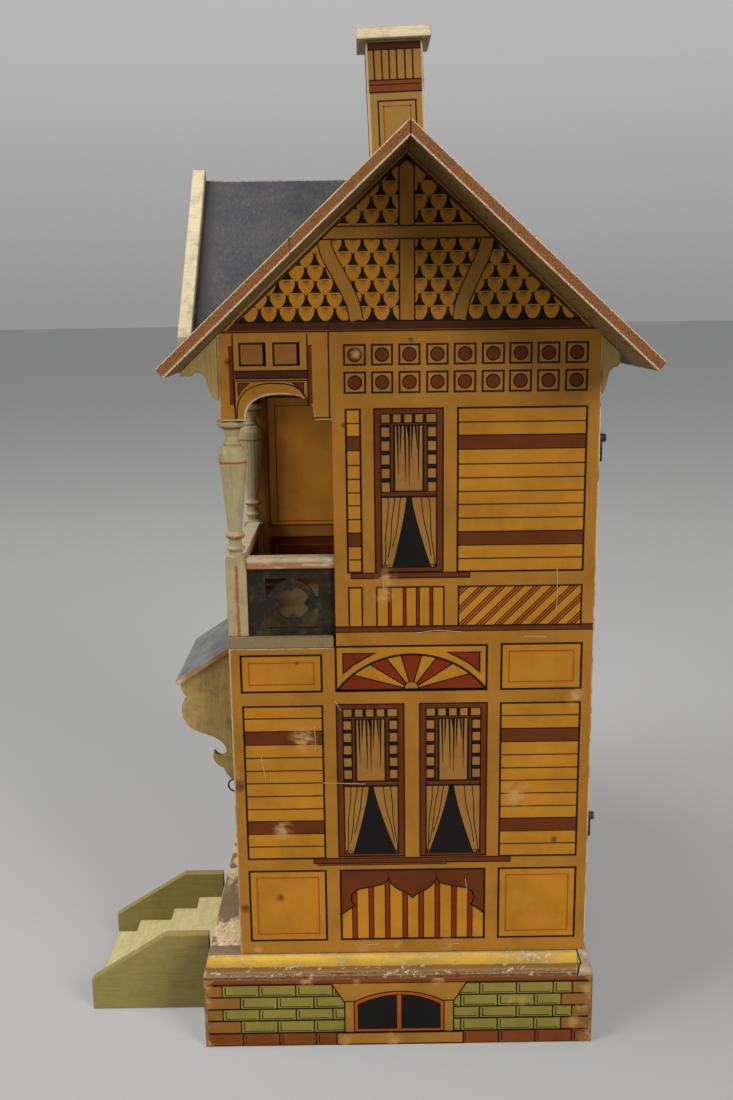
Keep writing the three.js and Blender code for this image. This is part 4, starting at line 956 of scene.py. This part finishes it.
STACK = np.array([84.0, 37.85, 585.03])
for name, out, way, foot in (("near", (17.0, 0, 0), stack_side, -19.0),
                             ("far", (-17.0, 0, 0), tuple(-c for c in stack_side), -19.0),
                             ("front", tuple(-17.0 * c for c in stack_side), (1, 0, 0), -16.0),
                             ("back", tuple(17.0 * c for c in stack_side), (-1, 0, 0), -14.0)):
    print_sheet("chimney_paper_" + name, stack_sheet(foot), STACK + out, way, stack_up, inks)



# ---- Floors, mouldings and the front ledge ------------------------------------------------------
# The ground floor is a thick board whose front edge sticks out as a ledge. Coved mouldings are
# nailed round its other sides and coped together. All were painted yellow over a brown band, over
# white ground, and the paint has flaked; the left part of the ledge is bare and grey.

def flaking(coats, amount, grit=3.2, dirt=(0.10, 0.075, 0.045), bands=()):
    """Old paint in coats from the newest to the bare wood. Each lower coat shows in smaller patches
    inside the one above, most along edges. Each band is (height in mm, half blur, colour below)."""
    def build(tree):
        """Adds the nodes of this finish; gives its colour, its polish and its relief."""
        broad = grain(tree, 22.0, (1.0, 1.6, 0.7), 5.0, 0.6, (0.7, 2.2, 4.1))
        patch = grain(tree, grit, (1.0, 1.8, 1.0), 5.0, 0.68)
        speck = grain(tree, 0.8, detail=3.0, rough=0.7)
        loss = combine(tree, "ADD", combine(tree, "MULTIPLY", patch, 0.65),
                       combine(tree, "MULTIPLY", broad, 0.35))
        loss = combine(tree, "ADD", loss, combine(tree, "MULTIPLY", edges(tree, 1.6), 0.14))
        parts = put(tree, "SeparateXYZ", {0: put(tree, "TexCoord").outputs["Object"]})
        uneven = combine(tree, "ADD", parts.outputs[2], combine(tree, "MULTIPLY", patch, 2.0 * MM))
        top = coats[0]
        for height, blur, below in bands:
            top = blend(tree, span(tree, uneven, (height + 1.0 - blur) * MM, (height + 1.0 + blur) * MM),
                        below, top)
        colour = blend(tree, span(tree, broad, 0.35, 0.7, 0.0, 0.35), top, dirt)
        start = 0.66 - 0.22 * amount
        for step, coat in enumerate(coats[1:]):
            at = start + 0.055 * step
            colour = blend(tree, span(tree, loss, at, at + 0.018), colour, coat)
        colour = blend(tree, span(tree, speck, 0.58, 0.74, 0.0, 0.7), colour, dirt)
        # painted shade: a grey-brown strip along the top of the moulding where it meets the wall, in the
        # crease between them
        reach = combine(tree, "ABSOLUTE", parts.outputs[0], 0.0)
        foot = span(tree, combine(tree, "ADD", reach, combine(tree, "MULTIPLY", patch, 1.6 * MM)),
                    137.6 * MM, 136.4 * MM)
        foot = combine(tree, "MULTIPLY", foot, span(tree, parts.outputs[2], 63.2 * MM, 64.2 * MM))
        colour = blend(tree, combine(tree, "MULTIPLY", foot, 0.8), colour, (0.085, 0.065, 0.055))
        relief = combine(tree, "SUBTRACT", combine(tree, "MULTIPLY", speck, 0.25),
                         span(tree, loss, start, start + 0.02, 0.0, 0.6))
        return colour, broad, relief
    return build


WHITE_GROUND, BARE = (0.50, 0.42, 0.27), (0.30, 0.19, 0.085)
near_coats = flaking([(0.57, 0.34, 0.042), WHITE_GROUND, BARE], 0.44, bands=(
    (58.0, 0.7, (0.235, 0.120, 0.028)), (53.4, 0.3, (0.050, 0.028, 0.014)),
    (52.7, 0.25, (0.150, 0.040, 0.008))))


def coped_moulding(tree):
    """Yellow over an ochre band over a red-brown foot, with an open coped joint near the back
    corner and pinkish bare end wood beyond it."""
    colour, polish, relief = near_coats(tree)
    parts = put(tree, "SeparateXYZ", {0: put(tree, "TexCoord").outputs["Object"]})
    belly = combine(tree, "ABSOLUTE", combine(tree, "SUBTRACT", parts.outputs[2], 58.0 * MM), 0.0)
    bow = combine(tree, "SUBTRACT", 155.4 * MM, combine(tree, "MULTIPLY", belly, 0.32))
    beyond = combine(tree, "SUBTRACT", parts.outputs[1], bow)
    patch = grain(tree, 2.6, detail=4.0, rough=0.6, shift=(4.0, 1.0, 2.0))
    end_wood = blend(tree, span(tree, patch, 0.4, 0.62), (0.42, 0.27, 0.15), (0.30, 0.235, 0.19))
    colour = blend(tree, span(tree, beyond, 0.2 * MM, 0.5 * MM), colour, end_wood)
    crack = span(tree, combine(tree, "ABSOLUTE", beyond, 0.0), 0.62 * MM, 0.38 * MM)
    return blend(tree, crack, colour, (0.012, 0.008, 0.006)), polish, relief


dress(finish("moulding_paint_near", coped_moulding, rough=0.55, bump=0.35, rounding=1.4), "moulding_near",
      "moulding_back")
dress(finish("moulding_paint", near_coats, rough=0.55, bump=0.35, rounding=1.4), "moulding_far")


room_boards = old_wood((0.36, 0.235, 0.11), (0.22, 0.13, 0.055), (0.12, 0.075, 0.04), "x")


def ledge_paint(tree):
    """Olive yellow paint, worn and speckled all over the ledge, rubbed down to grey wood and white
    ground in a broad patch near its near end."""
    spot = put(tree, "TexCoord").outputs["Object"]
    parts = put(tree, "SeparateXYZ", {0: spot})
    old = flaking([(0.66, 0.43, 0.095), WHITE_GROUND, (0.44, 0.29, 0.11)], 0.70, 2.2)
    fine = grain(tree, 1.5, (1.3, 1.0, 1.0), 4.0, 0.7, (2.0, 7.0, 1.0))
    patch = grain(tree, 11.0, (1.5, 1.0, 1.0), 4.0, 0.6, (5.0, 1.0, 0.0))
    colour, rough_share, relief = old(tree)
    middle = combine(tree, "ABSOLUTE", combine(tree, "SUBTRACT", parts.outputs[0], 108 * MM), 0.0)
    grey_share = combine(tree, "MULTIPLY", span(tree, middle, 26 * MM, 12 * MM),
        span(tree, patch, 0.40, 0.52))
    far_share = combine(tree, "MULTIPLY", span(tree, parts.outputs[0], 60 * MM, 20 * MM),
        span(tree, patch, 0.44, 0.5))
    grey = blend(tree, span(tree, fine, 0.42, 0.58), (0.44, 0.33, 0.18), (0.66, 0.53, 0.33))
    colour = blend(tree, combine(tree, "MAXIMUM", grey_share, far_share), colour, grey)
    # painted shade: the ledge darkens in a narrow strip where it meets the front wall
    inner = span(tree, combine(tree, "ADD", parts.outputs[1], combine(tree, "MULTIPLY", patch, 2 * MM)),
                 -73.2 * MM, -71.8 * MM)
    colour = blend(tree, combine(tree, "MULTIPLY", inner, 0.7), colour, (0.10, 0.075, 0.05))
    boards = room_boards(tree)[0]
    indoors = span(tree, parts.outputs[1], -64.4 * MM, -64.0 * MM)
    colour = blend(tree, indoors, colour, boards)
    return colour, rough_share, combine(tree, "ADD", relief, combine(tree, "MULTIPLY", fine, 0.6))


dress(finish("ledge_paint", ledge_paint, rough=0.62, bump=0.4, rounding=1.4), "ground_floor")
floor_board = finish("floor_board", room_boards, rough=0.55, bump=0.2, rounding=0.6)
dress(floor_board, "first_floor", "attic_floor")


# ---- Wall boards --------------------------------------------------------------------------------
# Seven-millimetre boards, cut out and nailed together at the corners. Only their edges and their
# inner faces show: varnished yellow-brown softwood, pale where the corners are rubbed.

def wall_wood(tree):
    """Upright grain, with the corners rubbed to a pale cream in places and dirt in patches."""
    colour, polish, relief = old_wood((0.40, 0.245, 0.095), (0.25, 0.135, 0.045), (0.16, 0.09, 0.035),
        "z")(tree)
    patch = grain(tree, 6.0, (1.0, 1.0, 3.0), 4.0, 0.65)
    rubbed = combine(tree, "MULTIPLY", edges(tree, 1.7, 0.002, 0.04), span(tree, patch, 0.36, 0.52))
    return blend(tree, rubbed, colour, (0.66, 0.53, 0.34)), polish, relief


wall_board = finish("wall_board", wall_wood, rough=0.6, bump=0.2, rounding=0.9)
dress(wall_board, "side_wall_near", "side_wall_far", "front_wall", "bay_front_wall", "balcony_back_wall",
      "partition", "balcony_arch_board", "front_gable_wall", "back_header", "back_panel", "front_door",
      "chimney_stack")

# ---- Wallpaper in the rooms ---------------------------------------------------------------------
# One room on each floor, open at the back when the panel swings. Small-patterned papers are pasted
# on the inner faces: striped cream and brown below, sage with a spot above, both under a border.

def wallpaper(name, corner, across, wide, foot, head, upper):
    """Pasted paper on an inner face, wide mm along across, from foot to head above the base."""
    sheet = []
    lay(sheet, "sage" if upper else "cream", 0, rect(0.5, foot, wide - 0.5, head))
    if upper:
        a, b = np.meshgrid(np.arange(6.0, wide - 4, 9.0), np.arange(foot + 18, head - 14, 9.0))
        a = (a + 4.5 * (np.round((b - foot) / 9.0) % 2))[:, :-1].ravel()
        b = b[:, :-1].ravel()
        spots = np.stack([a, b], 1)[:, None] + np.array([(1.3, 0), (0, 1.9), (-1.3, 0), (0, -1.9)])[None]
        lay(sheet, "cream", 1, spots)
    else:
        a = np.arange(4.0, wide - 4, 8.0)[:, None, None]
        bars = rect(0, foot + 12, 2.2, head - 9) + np.concatenate([a, 0 * a], 2)
        lay(sheet, "cloth", 1, bars)
        lay(sheet, "course", 2, rect(0, foot + 12, 0.5, head - 9) + np.concatenate([a + 3.9, 0 * a], 2))
    lay(sheet, "course", 2, rect(0.5, head - 8, wide - 0.5, head - 1.5),
        rect(0.5, foot + 0.5, wide - 0.5, foot + 10))
    lay(sheet, "black", 3, rect(0.5, head - 8.4, wide - 0.5, head - 7.8),
        rect(0.5, foot + 10, wide - 0.5, foot + 10.6))
    a = np.arange(6.0, wide - 5, 6.0)[:, None, None]
    lay(sheet, "field", 3,
        np.array([[(1.7, head - 4.7), (0, head - 3.0), (-1.7, head - 4.7), (0, head - 6.4)]])
        + np.concatenate([a, 0 * a], 2))
    return print_sheet(name, sheet, corner, across, (0, 0, 1), inks)


INNER, BACK = 127.9, 151.0
wallpaper("lower_paper_near", (INNER, BACK, 0), (0, -1, 0), 215.0, 66.0, 277.0, False)
wallpaper("lower_paper_far", (-INNER, -64.0, 0), (0, 1, 0), 215.0, 66.0, 277.0, False)
wallpaper("lower_paper_front", (INNER - 0.6, -64.55, 0), (-1, 0, 0), 254.6, 233.5, 277.0, False)
wallpaper("lower_paper_front_left", (24.4, -64.55, 0), (-1, 0, 0), 151.6, 66.0, 233.0, False)
wallpaper("lower_paper_front_right", (INNER - 0.6, -64.55, 0), (-1, 0, 0), 45.6, 66.0, 233.0, False)
wallpaper("upper_paper_near", (INNER, BACK, 0), (0, -1, 0), 147.0, 286.0, 445.0, True)
wallpaper("upper_paper_far", (-INNER, -64.0, 0), (0, 1, 0), 215.0, 286.0, 445.0, True)
wallpaper("upper_paper_bay", (-12.0, -64.55, 0), (-1, 0, 0), 115.4, 286.0, 445.0, True)
wallpaper("upper_paper_balcony", (INNER - 0.6, 3.45, 0), (-1, 0, 0), 132.0, 286.0, 445.0, True)
wallpaper("upper_paper_partition", (-11.2, -4.0, 0), (0, -1, 0), 60.0, 286.0, 445.0, True)


# ---- Balcony ------------------------------------------------------------------------------------
# An open corner balcony: a painted slab, a turned corner column and its twin against the front
# wall, flat handrails, and dark pierced panels below them. Trim is pale grey-green oil paint,
# rubbed to wood, lined by hand in brick red.

def oil_paint(top, under, wear, along="z", streak=1.4, dirt=(0.13, 0.10, 0.055), dulled=0.35):
    """Brushed oil paint: streaks along the work, dirt in patches, and the wood showing where
    corners and high places are rubbed."""
    stretch = [1.0, 1.0, 1.0]
    stretch["xyz".index(along)] = 14.0

    def build(tree):
        """Adds the nodes of this finish; gives its colour, its polish and its relief."""
        streaks = grain(tree, streak, stretch, 4.0, 0.6)
        patch = grain(tree, 9.0, detail=6.0, rough=0.66)
        speck = grain(tree, 0.9, detail=2.0, rough=0.7)
        colour = blend(tree, span(tree, streaks, 0.35, 0.7, 0.0, 0.5), top, tuple(0.72 * c for c in top))
        colour = blend(tree, span(tree, patch, 0.45, 0.72, 0.0, dulled), colour, dirt)
        rub = combine(tree, "ADD", combine(tree, "MULTIPLY", edges(tree, 1.2), 0.30), patch)
        rub = combine(tree, "ADD", rub, combine(tree, "MULTIPLY", streaks, 0.12))
        bare = span(tree, rub, 0.86 - 0.2 * wear, 0.90 - 0.2 * wear)
        colour = blend(tree, bare, colour, under)
        colour = blend(tree, span(tree, speck, 0.66, 0.8, 0.0, 0.55), colour, dirt)
        return colour, patch, combine(tree, "SUBTRACT", streaks, combine(tree, "MULTIPLY", bare, 0.5))
    return build


trim_under = (0.27, 0.19, 0.10)
slab_paint = finish("slab_paint", oil_paint((0.20, 0.15, 0.065), (0.14, 0.085, 0.035), 0.75, "x"),
                    rough=0.6, bump=0.3, rounding=1.0)
dress(slab_paint, "balcony_floor")


def lined_paint(tree):
    """Trim paint on the columns with brick-red hand-painted rings at set heights, and a ragged
    upright red stripe on the outer faces of the square foot."""
    colour, polish, relief = oil_paint((0.345, 0.285, 0.145), trim_under, 0.6)(tree)
    parts = put(tree, "SeparateXYZ", {0: put(tree, "TexCoord").outputs["Object"]})
    wobble = combine(tree, "MULTIPLY", grain(tree, 6.0, detail=3.0), 1.6 * MM)
    level = combine(tree, "ADD", parts.outputs[2], wobble)
    patch = grain(tree, 2.5, detail=4.0, rough=0.7)
    rings = None
    for height, half in ((416.6, 0.9), (395.4, 0.7), (348.6, 0.9)):
        off = combine(tree, "ABSOLUTE", combine(tree, "SUBTRACT", level, (height + 0.8) * MM), 0.0)
        ring = span(tree, off, (half + 0.25) * MM, (half - 0.25) * MM)
        rings = ring if rings is None else combine(tree, "MAXIMUM", rings, ring)
    shift = combine(tree, "MULTIPLY", grain(tree, 9.0, detail=2.0), 1.8 * MM)
    foot = span(tree, parts.outputs[2], 331.5 * MM, 330 * MM)
    stripe = None
    for axis, middle in ((1, -65.2), (0, 125.0), (0, 5.0)):
        off = combine(tree, "ABSOLUTE", combine(
            tree, "SUBTRACT", combine(tree, "ADD", parts.outputs[axis], shift), (middle + 0.9) * MM), 0.0)
        band = combine(tree, "MULTIPLY", span(tree, off, 1.15 * MM, 0.75 * MM), foot)
        stripe = band if stripe is None else combine(tree, "MAXIMUM", stripe, band)
    red = combine(tree, "MULTIPLY", combine(tree, "MAXIMUM", rings, stripe), span(tree, patch, 0.30, 0.46))
    return blend(tree, red, colour, (0.30, 0.075, 0.035)), polish, relief


post_paint = finish("post_paint", lined_paint, rough=0.5, bump=0.2, rounding=0.5)
dress(post_paint, "corner_post", "inner_post")


def rail_paint(tree):
    """Cream handrail with a red-orange wash worn off along its middle."""
    colour, polish, relief = oil_paint((0.46, 0.38, 0.24), trim_under, 0.5, "y")(tree)
    parts = put(tree, "SeparateXYZ", {0: put(tree, "TexCoord").outputs["Object"]})
    smear = grain(tree, 3.0, (6.0, 6.0, 1.0), 4.0, 0.65)
    low = span(tree, parts.outputs[2], 334.4 * MM, 332.0 * MM)
    washed = combine(tree, "MULTIPLY", low, span(tree, smear, 0.36, 0.52, 0.0, 0.85))
    return blend(tree, washed, colour, (0.27, 0.085, 0.035)), polish, relief


dress(finish("rail_paint", rail_paint, rough=0.5, bump=0.2, rounding=0.9), "side_rail", "front_rail")
panel_black = finish("panel_black", oil_paint((0.012, 0.009, 0.004), (0.045, 0.023, 0.009), 0.70, "y", 2.0,
                                              (0.065, 0.05, 0.03), 0.6), rough=0.62, bump=0.25, rounding=0.5)
dress(panel_black, "side_panel", "front_panel")


# ---- Roof, bargeboards and brackets -------------------------------------------------------------
# Roof boards are painted slate blue-grey on top and olive cream below. Their sawn verges show brick
# red paint over coarse end grain with a rubbed pale top corner. Bargeboards and eave brackets are
# fretted from thin board in trim paint.

RIDGE_Y, RIDGE_TOP, PITCH = 41.85, 585.03, math.radians(42.5)


def roof_boards(tree):
    """Slate paint on faces that look up, olive cream on those that look down, brick red with
    crumbled end grain on the upright cut ends."""
    facing = put(tree, "SeparateXYZ", {0: put(tree, "NewGeometry").outputs["True Normal"]})
    up, out = facing.outputs[2], combine(tree, "ABSOLUTE", facing.outputs[0], 0.0)
    clouds = grain(tree, 26.0, detail=6.0, rough=0.62)
    streaks = grain(tree, 2.0, (9.0, 1.0, 1.0), 4.0, 0.6)
    speck = grain(tree, 0.8, detail=3.0, rough=0.75)
    slate = blend(tree, span(tree, clouds, 0.32, 0.7), (0.022, 0.024, 0.031), (0.055, 0.053, 0.053))
    slate = blend(tree, span(tree, streaks, 0.45, 0.8, 0.0, 0.30), slate, (0.14, 0.13, 0.12))
    scuffed = combine(tree, "MULTIPLY", span(tree, speck, 0.60, 0.72), span(tree, clouds, 0.45, 0.65))
    slate = blend(tree, scuffed, slate, (0.27, 0.25, 0.21))
    rubbed = combine(tree, "MULTIPLY", edges(tree, 1.5, 0.002, 0.06), span(tree, streaks, 0.34, 0.52))
    slate = blend(tree, rubbed, slate, (0.46, 0.36, 0.22))
    parts = put(tree, "SeparateXYZ", {0: put(tree, "TexCoord").outputs["Object"]})
    across = parts.outputs[1]
    # painted shadow of the bargeboard: the slate darkens to near black towards the front edge, where the
    # bargeboard stands
    bargeboard_shadow = span(tree, combine(tree, "ADD", across, combine(tree, "MULTIPLY", clouds, 14 * MM)),
                 -66 * MM, -84 * MM, 0.0, 0.85)
    slate = blend(tree, bargeboard_shadow, slate, (0.018, 0.017, 0.018))
    soffit = blend(tree, span(tree, streaks, 0.38, 0.72), (0.19, 0.115, 0.036), (0.125, 0.072, 0.022))
    soffit = blend(tree, span(tree, clouds, 0.5, 0.75, 0.0, 0.6), soffit, (0.16, 0.11, 0.05))
    pores = grain(tree, 0.9, (1.0, 1.0, 1.5), 4.0, 0.72, (9.1, 3.3, 1.7))
    broad = grain(tree, 12.0, detail=3.0, rough=0.5, shift=(1.0, 4.0, 2.0))
    red = blend(tree, span(tree, pores, 0.42, 0.62), (0.255, 0.092, 0.022), (0.110, 0.042, 0.013))
    red = blend(tree, span(tree, broad, 0.45, 0.65, 0.0, 0.5), red, (0.16, 0.062, 0.022))
    red = blend(tree, span(tree, speck, 0.60, 0.72, 0.0, 0.75), red, (0.40, 0.24, 0.12))
    run = combine(tree, "ABSOLUTE", combine(tree, "SUBTRACT", across, RIDGE_Y * MM), 0.0)
    depth = combine(tree, "MULTIPLY", math.cos(PITCH), combine(
        tree, "SUBTRACT", RIDGE_TOP * MM, combine(tree, "ADD", parts.outputs[2],
                                                  combine(tree, "MULTIPLY", run, math.tan(PITCH)))))
    ragged = combine(tree, "ADD", depth, combine(tree, "MULTIPLY", pores, 1.6 * MM))
    pale_top = span(tree, ragged, 1.5 * MM, 1.0 * MM)
    chips = combine(tree, "MULTIPLY", span(tree, ragged, 6.1 * MM, 6.6 * MM), span(tree, speck, 0.38, 0.5))
    tip = span(tree, combine(tree, "ADD", across, combine(tree, "MULTIPLY", speck, 2 * MM)),
               -97.6 * MM, -98.4 * MM)
    pale = combine(tree, "MAXIMUM", combine(tree, "MAXIMUM", pale_top, chips), tip)
    red = blend(tree, pale, red, (0.56, 0.44, 0.26))
    crooked = combine(tree, "ADD", across, combine(tree, "MULTIPLY", pores, 3.0 * MM))
    for place, half in ((RIDGE_Y + 1.5, 0.30), (-22.3, 0.25)):
        crack = span(tree, combine(tree, "ABSOLUTE", combine(tree, "SUBTRACT", crooked, place * MM), 0.0),
                     (half + 0.15) * MM, (half - 0.1) * MM)
        red = blend(tree, crack, red, (0.03, 0.014, 0.008))
    colour = blend(tree, span(tree, up, -0.05, 0.05), soffit, slate)
    colour = blend(tree, span(tree, out, 0.8, 0.9), colour, red)
    ends = combine(tree, "MULTIPLY", span(tree, out, 0.8, 0.9), combine(tree, "MULTIPLY", pores, 2.2))
    return colour, clouds, combine(tree, "ADD", combine(tree, "ADD", streaks, combine(
        tree, "MULTIPLY", speck, 0.35)), ends)


roof_paint = finish("roof_paint", roof_boards, rough=0.62, bump=0.32, rounding=0.9)
dress(roof_paint, "roof_front_near", "roof_front_far", "roof_back", "gable_roof_near", "gable_roof_far")
barge_paint = finish("barge_paint", oil_paint((0.47, 0.39, 0.25), (0.32, 0.22, 0.10), 0.7, "y", 1.2,
                                              (0.13, 0.10, 0.05), 0.5), rough=0.55, bump=0.3, rounding=1.1)
dress(barge_paint, "bargeboard_near", "bargeboard_far")
bracket_paint = finish("bracket_paint", oil_paint((0.31, 0.21, 0.066), trim_under, 0.45, "z"),
                       rough=0.55, bump=0.2, rounding=0.8)
dress(bracket_paint, "eave_bracket_front_near", "eave_bracket_front_far", "eave_bracket_back_near",
      "eave_bracket_back_far")
cap_paint = finish("cap_paint", oil_paint((0.62, 0.52, 0.33), (0.34, 0.25, 0.14), 0.6, "y", 1.2),
                   rough=0.6, bump=0.25, rounding=0.9)
dress(cap_paint, "chimney_cap")


# ---- Door hood, its brackets, and the steps -----------------------------------------------------
# The hood is a slate-painted board on two fretted brackets. Steps are a loose box of five boards,
# two cheeks with a fretted slope and the treads between, brushed with thin olive green.

def hood_boards(tree):
    """Slate paint above, orange-brown on the cut edges with raw pale wood rubbed through."""
    up = put(tree, "SeparateXYZ", {0: put(tree, "NewGeometry").outputs["True Normal"]}).outputs[2]
    clouds = grain(tree, 18.0, detail=6.0, rough=0.62)
    speck = grain(tree, 0.8, detail=3.0, rough=0.75)
    slate = blend(tree, span(tree, clouds, 0.32, 0.7), (0.085, 0.09, 0.098), (0.18, 0.178, 0.17))
    slate = blend(tree, span(tree, speck, 0.60, 0.72, 0.0, 0.5), slate, (0.27, 0.25, 0.21))
    brown = blend(tree, span(tree, clouds, 0.4, 0.6), (0.30, 0.13, 0.045), (0.40, 0.24, 0.11))
    level = put(tree, "SeparateXYZ", {0: put(tree, "TexCoord").outputs["Object"]}).outputs[1]
    brown = blend(tree, span(tree, level, -106 * MM, -109 * MM), brown, (0.50, 0.33, 0.16))
    return blend(tree, span(tree, up, 0.55, 0.75), brown, slate), clouds, speck


dress(finish("hood_paint", hood_boards, rough=0.6, bump=0.2, rounding=0.7), "door_hood")
olive = finish("olive_paint", oil_paint((0.25, 0.205, 0.058), (0.31, 0.23, 0.09), 0.25, "y", 1.6,
                                        (0.13, 0.115, 0.04), 0.35), rough=0.58, bump=0.2, rounding=0.8)
# the treads get a much paler copy of the olive paint: painted light on the faces that look up
tread_olive_lit = finish("tread_paint_lit", oil_paint((0.50, 0.44, 0.215), (0.42, 0.31, 0.15), 0.4, "x", 1.6,
                                              (0.15, 0.13, 0.05), 0.3), rough=0.58, bump=0.2, rounding=0.8)
hood_olive = finish("hood_bracket_paint", oil_paint((0.39, 0.27, 0.085), (0.30, 0.15, 0.05), 0.45, "z", 1.6,
                                                    (0.12, 0.085, 0.04), 0.5), rough=0.6, bump=0.25,
                                                    rounding=0.7)
dress(olive, "steps_side_near", "steps_side_far")
dress(tread_olive_lit, "steps_flight")
dress(hood_olive, "hood_bracket_near", "hood_bracket_far")


# ---- Iron and brass -----------------------------------------------------------------------------
# Blackened iron hooks, screws, door wire and front staple; yellowed brass hinges and door knob.

def metal(bright, dull, rust):
    """Handled metal: bright and dull in cloudy patches, with rust or tarnish in specks."""
    def build(tree):
        """Adds the nodes of this finish; gives its colour, its polish and its relief."""
        clouds = grain(tree, 3.0, detail=5.0, rough=0.6)
        speck = grain(tree, 0.5, detail=3.0, rough=0.7)
        colour = blend(tree, span(tree, clouds, 0.3, 0.7), dull, bright)
        colour = blend(tree, span(tree, speck, 0.56, 0.7, 0.0, 0.8), colour, rust)
        return colour, clouds, speck
    return build


iron = finish("black_iron", metal((0.07, 0.065, 0.06), (0.018, 0.017, 0.016), (0.075, 0.035, 0.018)),
              rough=0.48, rough_spread=0.12, bump=0.06, rounding=0.25, metallic=0.55)
dress(iron, "front_staple", "lower_hook", "upper_hook", "lower_hook_screw", "upper_hook_screw", "door_pin")
brass = finish("old_brass", metal((0.58, 0.38, 0.12), (0.34, 0.21, 0.07), (0.14, 0.085, 0.035)),
               rough=0.36, rough_spread=0.12, bump=0.04, rounding=0.2, metallic=1.0)
dress(brass, "lower_hinge_wall_leaf", "lower_hinge_panel_leaf", "lower_hinge_pin", "upper_hinge_wall_leaf",
      "upper_hinge_panel_leaf", "upper_hinge_pin", "door_knob")
